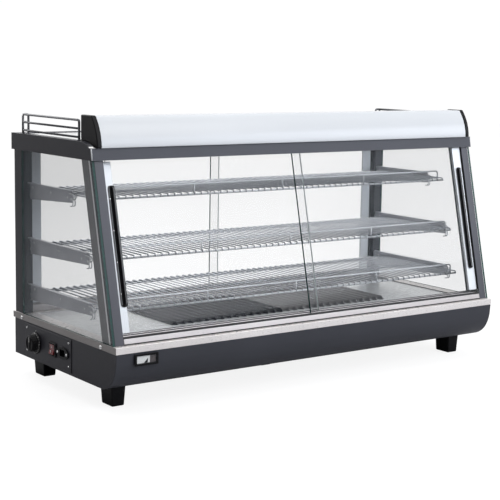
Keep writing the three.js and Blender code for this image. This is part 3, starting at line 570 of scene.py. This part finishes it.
def gallery(side, sign):
    """A low wire guard along one side of the roof, turned in at the back, on washers."""
    low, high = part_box(f"gallery_{side}")
    radius = 2.9 * MM
    bend = 5 * MM
    wire = high.x - radius if sign > 0 else low.x + radius
    inner = wire - sign * 15 * MM
    front, rear = low.y + radius, high.y - radius
    top, *rows = [high.z - radius - drop for drop in (0, 19.5 * MM, 39.5 * MM)]
    washer = [(radius + 2 * MM, low.z), (radius + 2 * MM, low.z + 1.2 * MM),
              (radius + 0.4 * MM, low.z + 2 * MM)]

    def build(bm):
        outline = [(wire, front, low.z), (wire, front, top), (wire, rear, top), (inner, rear, top),
                   (inner, rear, low.z)]
        tube(bm, fillet(outline, bend), radius, 12)
        tube(bm, [(wire, rear, low.z), (wire, rear, top - radius)], radius, 12)
        for z in rows:
            row = [(wire, front, z), (wire, rear, z), (inner, rear, z)]
            tube(bm, fillet(row, bend), radius * 0.9, 12)
        for x, y in ((wire, front), (wire, rear), (inner, rear)):
            turned(bm, washer, (x, y, 0), (0, 0, 1), 20)

    # the gallery wires take the darkened wire: painted dark reflection
    made(f"gallery_wires_{side}", build, "cabinet", SHADE_PAINTED_WIRE, [f"gallery_{side}"])


def band_clip():
    """A bent wire clip under the front band, near its left end."""
    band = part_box("top_frame")[0]
    x = band.x + 44 * MM
    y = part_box("front_track_top")[1].y + 5 * MM
    z = band.z - 3 * MM
    outline = [(x, y, z + 6 * MM), (x + 3 * MM, y, z - 2 * MM), (x + 16 * MM, y, z - 13 * MM),
               (x + 20 * MM, y, z - 10 * MM), (x + 21 * MM, y, z + 6 * MM)]

    def build(bm):
        tube(bm, fillet(outline, 3 * MM), 1.1 * MM)

    # the clip takes the darkened wire: painted dark reflection
    made("band_clip", build, "cabinet", SHADE_PAINTED_WIRE)


def band_corner_highlights():
    """A thin bright strip along the fold at each end of the front band: a painted highlight where the
    fold catches the light.
    """
    low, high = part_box("top_frame")
    lean = 4.1 * MM
    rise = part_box("canopy_cover")[0].z - 0.6 * MM - low.z
    outline = ((-0.25, 1.8), (-0.25, 0.5), (0.5, -0.25), (1.8, -0.25), (1.6, 0.6), (0.6, 1.6))

    def build(bm):
        for end, inward in ((low.x, 1), (high.x, -1)):
            rings = []
            for share in (0.02, 0.5, 0.98):
                y = low.y + lean * share
                z = low.z + rise * share
                rings.append([Vector((end + inward * a * MM, y + b * MM, z)) for a, b in outline])
            loft(bm, rings)

    # these strips are painted highlight on the band's folds
    made("band_corner_highlight_strips", build, "cabinet", ALUMINIUM)


# ------------------------------------------------------------------ shelves and brackets

SHELF_WIRES = 59


def shelf_wires(level):
    """Wires from back to front over cross rods, bent down at both ends, and a raised front rail."""
    low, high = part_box(f"shelf_{level}")
    surface = high.z - 21 * MM
    wire, rod = 1.75 * MM, 2.5 * MM
    edge = 2 * wire + 0.6 * rod     # from the shelf's edge to the middle of its outer rod
    drop = surface - 10 * MM
    sill = surface - 7.5 * MM
    half = high.x
    rail_half = half - 22 * MM

    def build(bm):
        for i in range(SHELF_WIRES):
            x = (half - 4 * MM) * (2 * i / (SHELF_WIRES - 1) - 1)
            path = [(x, high.y - 1 * MM, drop), (x, high.y - wire, surface - wire),
                    (x, low.y + wire, surface - wire), (x, low.y + wire, sill - 1 * MM)]
            tube(bm, fillet(path, 4 * MM, 3), wire, 8)
        under = surface - 2 * wire - rod + 0.4 * MM
        middle = (low.y + high.y) / 2
        for y in (middle, high.y - 4 * wire):
            tube(bm, [(-half, y, under), (half, y, under)], rod, 12)
        y = high.y - edge
        tube(bm, [(-half, y, drop), (half, y, drop)], rod, 12)

    def front(bm):
        top = high.z - 2 * MM
        y = low.y + edge
        tube(bm, [(-half, y, sill), (half, y, sill)], rod, 12)
        hoop = [(-rail_half, y, sill), (-rail_half, y, top), (rail_half, y, top), (rail_half, y, sill)]
        tube(bm, fillet(hoop, 9 * MM, 6), 2 * MM, 12)
        for x in (-0.5 * rail_half, 0, 0.5 * rail_half):
            tube(bm, [(x, y, sill), (x, y, top)], 1.8 * MM, 10)

    made(f"shelf_{level}_wires", build, "cabinet", MATERIALS["chrome_wire"],
         [f"shelf_{level}"])
    # the front rail takes the lighter wire copy: painted light
    made(f"shelf_{level}_front_rail", front, "cabinet", LIGHT_PAINTED_ROD)


def bracket_fittings(level, side, sign):
    """Rivets along the plate, the hooks at the post and the wire stop at the front."""
    low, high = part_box(f"shelf_bracket_{level}_{side}")
    plate = (low.x + 14 * MM) if sign > 0 else (high.x - 14 * MM)
    length = high.y - low.y

    def rivets(bm):
        for share, radius in ((0.12, 2.6), (0.5, 2.6), (0.93, 3.6)):
            y = low.y + share * length
            z = high.z - (11 + 9 * (1 - share)) * MM
            for face, axis in ((plate - sign * 0.2 * MM, -sign), (plate + sign * 2.2 * MM, sign)):
                turned(bm, [(radius * MM, -0.3 * MM), (radius * MM, 0.5 * MM),
                            (0.55 * radius * MM, 1.0 * MM)], (face, y, z), (axis, 0, 0), 16)

    def stop(bm):
        tip, z = low.y, high.z - 6 * MM
        inner, outer = plate - sign * 2.2 * MM, plate + sign * 4.2 * MM
        upper = ((14, -2), (-6, -3), (-8, -14), (6, -17))
        lower = ((5, -13), (-5, -19), (-3, -31), (7, -32))
        for x in (inner, outer):
            for outline in (upper, lower):
                bends = [(x, tip + back * MM, z + up * MM) for back, up in outline]
                tube(bm, fillet(bends, 5 * MM), 1.5 * MM, 8)
        tube(bm, [(inner, tip - 7 * MM, z - 8 * MM), (outer, tip - 7 * MM, z - 8 * MM)], 1.5 * MM, 8)

    def hooks(bm):
        near, far = sorted((plate, plate + sign * 2 * MM))
        for share in (0.2, 0.72):
            z = low.z + share * (high.z - low.z)
            block(bm, (near - 1 * MM, high.y - 7 * MM, z), (far + 1 * MM, high.y, z + 9 * MM))

    name = f"bracket_{level}_{side}"
    made(name + "_rivets", rivets, "cabinet", RIVET)
    made(name + "_stop", stop, "cabinet", RIVET)
    soften(made(name + "_hooks", hooks, "cabinet", MATERIALS["bracket_steel"]),
           0.5 * MM)


# ------------------------------------------------------------------ doors

HANDLE_SCREWS = 4
HANDLE_END = 2.5 * MM           # how far the bar runs past the CAD bar at each end
HANDLE_SIDE = 3 * MM            # and past its outer side
FLANGE_RISE = 0.28              # the screw flange's height, as a share of the bar's
FLANGE_MIDDLE = 1.9 * MM        # from the flange's outer edge to its screws
STRIP_WIDTH = 28 * MM
STRIP_LAP = 0.8 * MM            # how far the strip stands off each face of the pane
STRIP_RIBS = 6
STRIP_SEAL = 8 * MM             # black brush on the strip's outer edge


def handle_rings(low, high, outward, outer):
    """Sections of a round-faced bar with a flat screw flange on its outer side."""
    width = high.x - low.x
    depth = high.y - low.y
    bar = 0.74 * width
    face = high.y if outward < 0 else low.y
    steps = 10
    section = [(0, 0)]
    for i in range(steps + 1):
        angle = math.pi * i / steps
        section.append((bar / 2 * (1 - math.cos(angle)), 0.4 * depth + 0.6 * depth * math.sin(angle)))
    section += [(bar, FLANGE_RISE * depth), (width, FLANGE_RISE * depth), (width, 0)]
    rings = []
    for inset, share, spread in ((0, 0.45, 0.45), (1.2, 0.72, 0.70), (3.2, 0.93, 0.90), (6.5, 1, 1)):
        rings.append((low.z + inset * MM, share, spread))
    rings += [(low.z + high.z - z, share, spread) for z, share, spread in rings[::-1]]
    sections = []
    for z, share, spread in rings:
        ring = []
        for u, w in section:
            u = width / 2 + (u - width / 2) * spread
            x = low.x + u if outer > 0 else high.x - u
            ring.append(Vector((x, face + outward * w * share, z)))
        sections.append(ring)
    return sections


def door_handle(node, low, high, outward, outer, transform):
    """A bar and its screws, between two corners measured before transform."""
    body = NODES[node]["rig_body"]
    low = low - Vector((HANDLE_SIDE if outer < 0 else 0, 0, HANDLE_END))
    high = high + Vector((HANDLE_SIDE if outer > 0 else 0, 0, HANDLE_END))
    bar = made(node + "_bar", lambda bm: loft(bm, handle_rings(low, high, outward, outer)), body,
               GLOSS_BLACK, [node], transform=transform)
    soften(bar, 0.4 * MM, 1, 40)
    flange = (high.x if outer > 0 else low.x) - outer * FLANGE_MIDDLE
    face = high.y if outward < 0 else low.y
    seat = face + outward * FLANGE_RISE * (high.y - low.y)

    def build(bm):
        for i in range(HANDLE_SCREWS):
            z = low.z + (high.z - low.z) * (0.11 + 0.78 * i / (HANDLE_SCREWS - 1))
            screw(bm, (flange, seat, z), (0, outward, 0), 1.8 * MM)

    made(node + "_screws", build, body, SCREW, transform=transform)


def edge_strip(node, low, high, outer, bottom, top, transform, material):
    """A ribbed aluminium channel over a pane's outer edge, with a black brush on its end."""
    body = NODES[node]["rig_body"]
    end = (high.x if outer > 0 else low.x) - outer * STRIP_SEAL
    front, back = low.y - STRIP_LAP, high.y + STRIP_LAP

    def build(bm):
        steps = STRIP_RIBS * 2
        ribs = [(end - outer * (STRIP_WIDTH - STRIP_WIDTH * k / steps), 0.25 * MM if k % 2 else 0.0)
                for k in range(steps + 1)]
        outline = [(x, front + groove) for x, groove in ribs]
        outline += [(x, back - groove) for x, groove in reversed(ribs)]
        loft(bm, [[Vector((x, y, z)) for x, y in outline] for z in (bottom, top)])

    def seal(bm):
        near, far = sorted((end, end + outer * STRIP_SEAL))
        block(bm, (near, front, bottom), (far, back, top))

    made(node + "_strip", build, body, material, smooth=False, transform=transform)
    soften(made(node + "_brush", seal, body, SEAL, transform=transform), 0.5 * MM)


def opening(row):
    """The heights of a row's lower track's top and its upper track's underside."""
    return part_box(f"{row}_track_bottom")[1].z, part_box(f"{row}_track_top")[0].z


def doors():
    """Handles and edge strips: slanted doors at the front, upright ones at the back."""
    upright = Matrix.Identity(4)
    for side, sign in SIDES:
        name = f"front_door_{side}"
        door_handle(f"{name}_handle", *slanted_box(f"{name}_handle"), -1, sign, SLANTED)
        rail, head = [(z - POST_LOW.z) / math.cos(SLANT) for z in opening("front")]
        edge_strip(f"{name}_glass", *slanted_box(f"{name}_glass"), sign, rail + 9 * MM, head - 2 * MM,
                   SLANTED, ALUMINIUM)
        name = f"rear_door_{side}"
        door_handle(f"{name}_handle", *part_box(f"{name}_handle"), 1, sign, upright)
        rail, head = opening("rear")
        # the rear strips take the paler copy: painted light
        edge_strip(f"{name}_glass", *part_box(f"{name}_glass"), sign, rail + 1 * MM, head - 1 * MM,
                   upright, LIGHT_PAINTED_STRIP)


def rail_seals():
    """Black lines above and below the front rail."""
    low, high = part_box("front_track_bottom")
    length = (high.z - low.z) / math.cos(SLANT)

    def build(bm):
        block(bm, (low.x, -0.6 * MM, -0.1 * MM), (high.x, 2 * MM, 2.6 * MM))
        block(bm, (low.x, -0.5 * MM, length - 4.4 * MM), (high.x, 5.4 * MM, length + 0.2 * MM))

    soften(made("rail_seals", build, "cabinet", SEAL, transform=SLANTED), 0.3 * MM, 1)


# ------------------------------------------------------------------ heat plates

RIBS = 15
RIB_REACH = 9 * MM          # how far the ribs run past the grooves at each end
RIB_END = 7 * MM            # over which a rib's end comes up
PLATE_SHEET = 1.2 * MM      # the plate's thickness in its grooves


def heat_plate(side, material):
    """A wavy sheet whose ribs end in rounded fingers at the front and the back."""
    low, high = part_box(f"heat_plate_{side}")
    across = RIBS * 12
    along = 26
    pitch = (high.x - low.x) / RIBS
    height = high.z - low.z - 0.6 * MM
    base = low.z + 0.3 * MM

    def build(bm):
        grid = []
        for i in range(across + 1):
            x = low.x + (high.x - low.x) * i / across
            crest = 0.5 - 0.5 * math.cos(2 * math.pi * (x - low.x) / pitch)
            front = low.y + RIB_REACH * (1 - crest) ** 0.7
            back = high.y - RIB_REACH * (1 - crest) ** 0.7
            column = []
            for j in range(along + 1):
                ease = 0.5 - 0.5 * math.cos(math.pi * j / along)
                y = front + (back - front) * ease
                rise = min(1.0, math.sqrt(max(0.0, min(y - front, back - y) / RIB_END)))
                z = base + PLATE_SHEET + (height - PLATE_SHEET) * crest * rise
                column.append(bm.verts.new((x, y, z)))
            grid.append(column)
        for first, second in zip(grid, grid[1:]):
            for j in range(along):
                bm.faces.new((first[j], second[j], second[j + 1], first[j + 1]))
        underside = bmesh.ops.extrude_face_region(bm, geom=bm.faces[:])
        for vertex in [v for v in underside["geom"] if isinstance(v, bmesh.types.BMVert)]:
            vertex.co.z = base

    made(f"heat_plate_ribs_{side}", build, "cabinet", material,
         [f"heat_plate_{side}"])


# ------------------------------------------------------------------ controls


KNOB_FLUTES = 20
KNOB_TICKS = 18             # steps of the scale over the knob's turn
KNOB_TURN = 270


def knob():
    """A fluted cap with a grip bar, on a skirt that carries its scale; rest is at the scale's start."""
    low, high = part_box("thermostat_knob")
    centre = Vector((0, (low.y + high.y) / 2, (low.z + high.z) / 2))
    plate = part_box("control_plate")[0].x
    skirt = (high.y - low.y) / 2
    depth = plate - low.x

    def ring(radius, height, fluted):
        points = []
        for angle in angles(KNOB_FLUTES * 4):
            r = radius * (1 - fluted * (0.5 + 0.5 * math.cos(KNOB_FLUTES * angle)))
            points.append(Vector((plate - height, centre.y + r * math.cos(angle),
                                  centre.z + r * math.sin(angle))))
        return points

    def build(bm):
        loft(bm, [ring(skirt * 0.97, 0.7 * MM, 0), ring(skirt, 1.4 * MM, 0), ring(skirt, 2.4 * MM, 0),
                  ring(skirt * 0.86, 4.6 * MM, 0), ring(skirt * 0.80, 5.4 * MM, 0.03),
                  ring(skirt * 0.78, 7 * MM, 0.055), ring(skirt * 0.75, depth - 2.5 * MM, 0.055),
                  ring(skirt * 0.71, depth - 0.6 * MM, 0.02), ring(skirt * 0.62, depth, 0),
                  ring(skirt * 0.58, depth - 1.2 * MM, 0), ring(skirt * 0.05, depth - 1.4 * MM, 0)])
        block(bm, (plate - depth, centre.y - 3.4 * MM, centre.z - skirt * 0.6),
              (plate - depth + 4 * MM, centre.y + 3.4 * MM, centre.z + skirt * 0.6))

    made("knob_cap", build, "knob", MATERIALS["black_plastic"], ["thermostat_knob"])

    def marks(bm):
        for k in range(KNOB_TICKS + 1):
            long_tick = k % 3 == 0
            angle = math.radians(90 + KNOB_TURN * k / KNOB_TICKS)
            radial = Vector((0, math.cos(angle), math.sin(angle)))
            across = Vector((0, -math.sin(angle), math.cos(angle))) * (0.55 if long_tick else 0.3) * MM
            near = centre + radial * skirt * (0.885 if long_tick else 0.92)
            far = centre + radial * skirt * 0.985
            near.x = plate - 4.75 * MM
            far.x = plate - 2.9 * MM
            top = [near - across, near + across, far + across, far - across]
            loft(bm, [top, [point + Vector((1.16 * MM, 0, 0)) for point in top]])
        block(bm, (plate - depth - 0.12 * MM, centre.y - 0.7 * MM, centre.z + skirt * 0.12),
              (plate - depth + 1 * MM, centre.y + 0.7 * MM, centre.z + skirt * 0.58))

    made("knob_marks", marks, "knob", WHITE_MARK, smooth=False)


def dial_index():
    """The fixed mark above the knob, against which the knob's scale is read."""
    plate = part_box("control_plate")[0].x
    low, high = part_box("thermostat_knob")
    middle = (low.y + high.y) / 2

    def build(bm):
        block(bm, (plate - 0.15 * MM, middle - 0.7 * MM, high.z + 1.4 * MM),
              (plate - 0.02 * MM, middle + 0.7 * MM, high.z + 4.6 * MM))

    made("dial_index", build, "cabinet", WHITE_MARK, smooth=False)


def rocker_marks():
    """A bar on the rocker's upper half and a ring on its lower half, from each half's proud edge."""
    low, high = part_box("switch_rocker")
    middle = (low.y + high.y) / 2
    waist = (low.z + high.z) / 2
    points = [v.co for v in NODES["switch_rocker"].data.vertices]
    upper = min((p for p in points if p.z > waist), key=lambda p: p.x)
    lower = min((p for p in points if p.z < waist), key=lambda p: p.x)
    inset, reach = 6.5 * MM, 2.4 * MM

    def build(bm):
        bar, loop = upper.z - inset, lower.z + inset
        block(bm, (upper.x + 0.1 * MM, middle - 0.6 * MM, bar - reach),
              (upper.x + 1.9 * MM, middle + 0.6 * MM, bar + reach))
        ring = [(lower.x + 0.6 * MM, middle + reach * math.cos(a), loop + reach * math.sin(a))
                for a in (*angles(20), 2 * math.pi)]
        tube(bm, ring, 0.45 * MM, 6)

    made("rocker_marks", build, "rocker", WHITE_MARK)


def plate_screws():
    """Four screws at the control plate's corners and two in the inlet's flange."""
    low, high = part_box("control_plate")
    height = high.z - low.z
    flange_low, flange_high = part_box("power_inlet")
    flange_middle = (flange_low.z + flange_high.z) / 2

    def build(bm):
        for y in (low.y + 11 * MM, high.y - 11 * MM):
            for z in (low.z + 0.18 * height, high.z - 0.12 * height):
                screw(bm, (low.x, y, z), (-1, 0, 0), 2.6 * MM)
        for y in (flange_low.y + 7 * MM, flange_high.y - 7 * MM):
            screw(bm, (flange_low.x, y, flange_middle), (-1, 0, 0), 3.0 * MM)

    made("plate_screws", build, "cabinet", SCREW)


def trim_screws():
    """Two screws in each end of the bright trim round the base."""
    low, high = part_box("trim_frame")

    def build(bm):
        z = low.z + 5.5 * MM
        for x, axis in ((low.x, -1), (high.x, 1)):
            for y in (low.y + 70 * MM, high.y - 50 * MM):
                screw(bm, (x, y, z), (axis, 0, 0), 5 * MM)

    made("trim_screws", build, "cabinet", SCREW)


METER_TICKS = 12


def meter_dial():
    """A white card with ticks, a dark pointer and a shaded end, behind a clear window."""
    low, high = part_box("thermometer")
    front = low.y + 2.4 * MM
    left, right = low.x + 6.2 * MM, high.x - 6.2 * MM
    bottom, top = low.z + 5.6 * MM, high.z - 5.6 * MM
    split = left + 0.68 * (right - left)
    middle = (bottom + top) / 2

    def card(bm):
        block(bm, (left, front, bottom), (split, front + 0.6 * MM, top))

    def shaded(bm):
        block(bm, (split, front - 0.1 * MM, bottom), (right, front + 0.6 * MM, top))

    def ink(bm):
        pivot = left + 0.42 * (right - left)
        foot = bottom + 0.3 * MM
        wedge = [Vector((pivot + x, front - 0.5 * MM, z)) for x, z in (
            (-3 * MM, foot), (7 * MM, foot), (8 * MM, middle + 2.6 * MM))]
        loft(bm, [wedge, [p + Vector((0, 0.35 * MM, 0)) for p in wedge]])
        for k in range(METER_TICKS + 1):
            x = left + 3 * MM + (split - left - 6 * MM) * k / METER_TICKS
            length = (2.6 if k % 3 == 0 else 1.7) * MM
            block(bm, (x - 0.12 * MM, front - 0.15 * MM, top - length),
                  (x + 0.12 * MM, front + 0.1 * MM, top - 0.6 * MM))

    def window(bm):
        block(bm, (left - 0.6 * MM, low.y + 0.8 * MM, bottom - 0.6 * MM),
              (right + 0.6 * MM, low.y + 1.3 * MM, top + 0.6 * MM))

    made("meter_card", card, "cabinet", DIAL_CARD, smooth=False)
    made("meter_shaded_end", shaded, "cabinet", DIAL_SHADE, smooth=False)
    made("meter_ink", ink, "cabinet", SEAL, smooth=False)
    made("meter_window", window, "cabinet", MATERIALS["clear_glass"], smooth=False)


# ------------------------------------------------------------------ stage, light and camera

BACKDROP = 1.02             # brightness of the surroundings that the camera sees
SKY_STRENGTH = 0.9
SKY_BRIGHT_SIDE = (0.55, 0.30, 0.78)
SKY_RAMP = ((0.34, (0.05, 0.05, 0.06, 1)), (0.72, (1.0, 1.0, 1.0, 1)))
FLOOR_GLOW = 0.87
FLOOR_RADIUS = 14
FLOOR_SEEN = ((0.135, 0.135, 0.138), (0.150, 0.150, 0.153))
FLOOR_BOUNCE = (0.42, 0.42, 0.43, 1)
WHITE = (1.0, 1.0, 1.0)
LIGHTS = (                  # name, place, aim, size, energy, colour
    ("key", (0.4, -2.6, 2.6), (0, 0, 0.35), (3.2, 1.6), 46, WHITE),
    ("front_sheen", (1.9, -2.75, 1.3), (0, 0, 0.4), (3.0, 1.0), 48, (0.86, 0.91, 1.0)),
    ("overhead", (0, 0.2, 3.0), (0, 0, 0.3), (3.5, 2.5), 50, WHITE),
    ("back_fill", (-0.6, 3.0, 1.6), (0, 0, 0.35), (3.0, 1.6), 30, WHITE))
FOCAL_LENGTH = 95.3         # in millimetres, on a sensor 36 wide
LENS_SHIFT = (-0.0142, 0.0044)
CAMERA_PLACE = (-2.0691, -2.8083, 0.8273)
CAMERA_YAW = -36.14
CAMERA_DOWN = 8.55
CAMERA_ROLL = 1.01


def area_light(name, place, aim, size, energy, colour):
    lamp = bpy.data.lights.new(name, "AREA")
    lamp.shape = "RECTANGLE"
    lamp.size, lamp.size_y = size
    lamp.energy = energy
    lamp.color = colour
    light = bpy.data.objects.new(name, lamp)
    light.location = place
    light.rotation_euler = (Vector(aim) - Vector(place)).to_track_quat("-Z", "Y").to_euler()
    bpy.context.scene.collection.objects.link(light)


def studio():
    """White surroundings to the camera; for light, a sky that fades to the lower left and front."""
    world = bpy.data.worlds.new("studio")
    bpy.context.scene.world = world
    world.use_nodes = True
    tree = world.node_tree
    tree.nodes.clear()
    output = tree.nodes.new("ShaderNodeOutputWorld")
    seen = tree.nodes.new("ShaderNodeBackground")
    seen.inputs["Color"].default_value = (1, 1, 1, 1)
    seen.inputs["Strength"].default_value = BACKDROP
    lighting = tree.nodes.new("ShaderNodeBackground")
    lighting.inputs["Strength"].default_value = SKY_STRENGTH
    coords = tree.nodes.new("ShaderNodeTexCoord")
    slope = tree.nodes.new("ShaderNodeVectorMath")
    slope.operation = "DOT_PRODUCT"
    slope.inputs[1].default_value = SKY_BRIGHT_SIDE
    ramp = tree.nodes.new("ShaderNodeValToRGB")
    for element, (position, colour) in zip(ramp.color_ramp.elements, SKY_RAMP):
        element.position = position
        element.color = colour
    spread = tree.nodes.new("ShaderNodeMapRange")
    spread.inputs["From Min"].default_value = -1
    path = tree.nodes.new("ShaderNodeLightPath")
    mix = tree.nodes.new("ShaderNodeMixShader")
    tree.links.new(coords.outputs["Generated"], slope.inputs[0])
    tree.links.new(slope.outputs["Value"], spread.inputs["Value"])
    tree.links.new(spread.outputs["Result"], ramp.inputs["Fac"])
    tree.links.new(ramp.outputs["Color"], lighting.inputs["Color"])
    tree.links.new(path.outputs["Is Camera Ray"], mix.inputs["Fac"])
    tree.links.new(lighting.outputs["Background"], mix.inputs[1])
    tree.links.new(seen.outputs["Background"], mix.inputs[2])
    tree.links.new(mix.outputs["Shader"], output.inputs["Surface"])
    for light in LIGHTS:
        area_light(*light)
    bpy.context.scene.view_settings.view_transform = "Standard"


def floor_finish():
    """Near white to the camera with a faint shadow, a mid grey to the light that it bounces."""
    s = Shader("pale_floor")
    s.constants(Roughness=0.8, Emission_Strength=FLOOR_GLOW, Emission_Color=(1, 1, 1, 1),
                Specular_IOR_Level=0.1)
    mottle = s.noise(1.0, detail=2.0).outputs["Fac"]
    tint = s.blend_colours(s.between(mottle, 0, 1), *FLOOR_SEEN)
    s.tree.links.new(tint, s.principled.inputs["Base Color"])
    bounce = s.add("ShaderNodeBsdfDiffuse")
    bounce.inputs["Color"].default_value = FLOOR_BOUNCE
    path = s.add("ShaderNodeLightPath")
    mix = s.add("ShaderNodeMixShader")
    s.link(path, "Is Camera Ray", mix, "Fac")
    s.link(bounce, "BSDF", mix, 1)
    s.link(s.principled, "BSDF", mix, 2)
    s.link(mix, "Shader", s.output, "Surface")
    return s.material


def pale_floor():
    """A round floor under the feet, part of the stage."""
    bm = bmesh.new()
    bmesh.ops.create_circle(bm, cap_ends=True, segments=96, radius=FLOOR_RADIUS)
    mesh = bpy.data.meshes.new("studio_floor")
    bm.to_mesh(mesh)
    bm.free()
    floor = bpy.data.objects.new("studio_floor", mesh)
    bpy.context.scene.collection.objects.link(floor)
    mesh.materials.append(floor_finish())


def photo_camera():
    """The photograph's view: from the front left, a little above, slightly rolled."""
    lens = bpy.data.cameras.new("camera")
    lens.sensor_width = 36
    lens.lens = FOCAL_LENGTH
    lens.shift_x, lens.shift_y = LENS_SHIFT
    lens.clip_end = 100
    camera = bpy.data.objects.new("camera", lens)
    yaw = Matrix.Rotation(math.radians(CAMERA_YAW), 4, "Z")
    pitch = Matrix.Rotation(math.radians(90 - CAMERA_DOWN), 4, "X")
    roll = Matrix.Rotation(math.radians(CAMERA_ROLL), 4, "Z")
    camera.matrix_world = Matrix.Translation(CAMERA_PLACE) @ yaw @ pitch @ roll
    bpy.context.scene.collection.objects.link(camera)
    bpy.context.scene.camera = camera


# ------------------------------------------------------------------ assembly

photo_camera()
studio()
pale_floor()
dress_nodes()
dress_glass()
round_shells()
front_posts()
canopy_cover()
for side_name, side_sign in SIDES:
    gallery(side_name, side_sign)
band_clip()
band_corner_highlights()
for shelf_level in SHELVES:
    shelf_wires(shelf_level)
    for side_name, side_sign in SIDES:
        bracket_fittings(shelf_level, side_name, side_sign)
doors()
rail_seals()
heat_plate("left", MATERIALS["ribbed_plate"])
# the right plate takes the lighter copy: painted light
heat_plate("right", LIGHT_PAINTED_PLATE)
knob()
dial_index()
rocker_marks()
plate_screws()
trim_screws()
meter_dial()
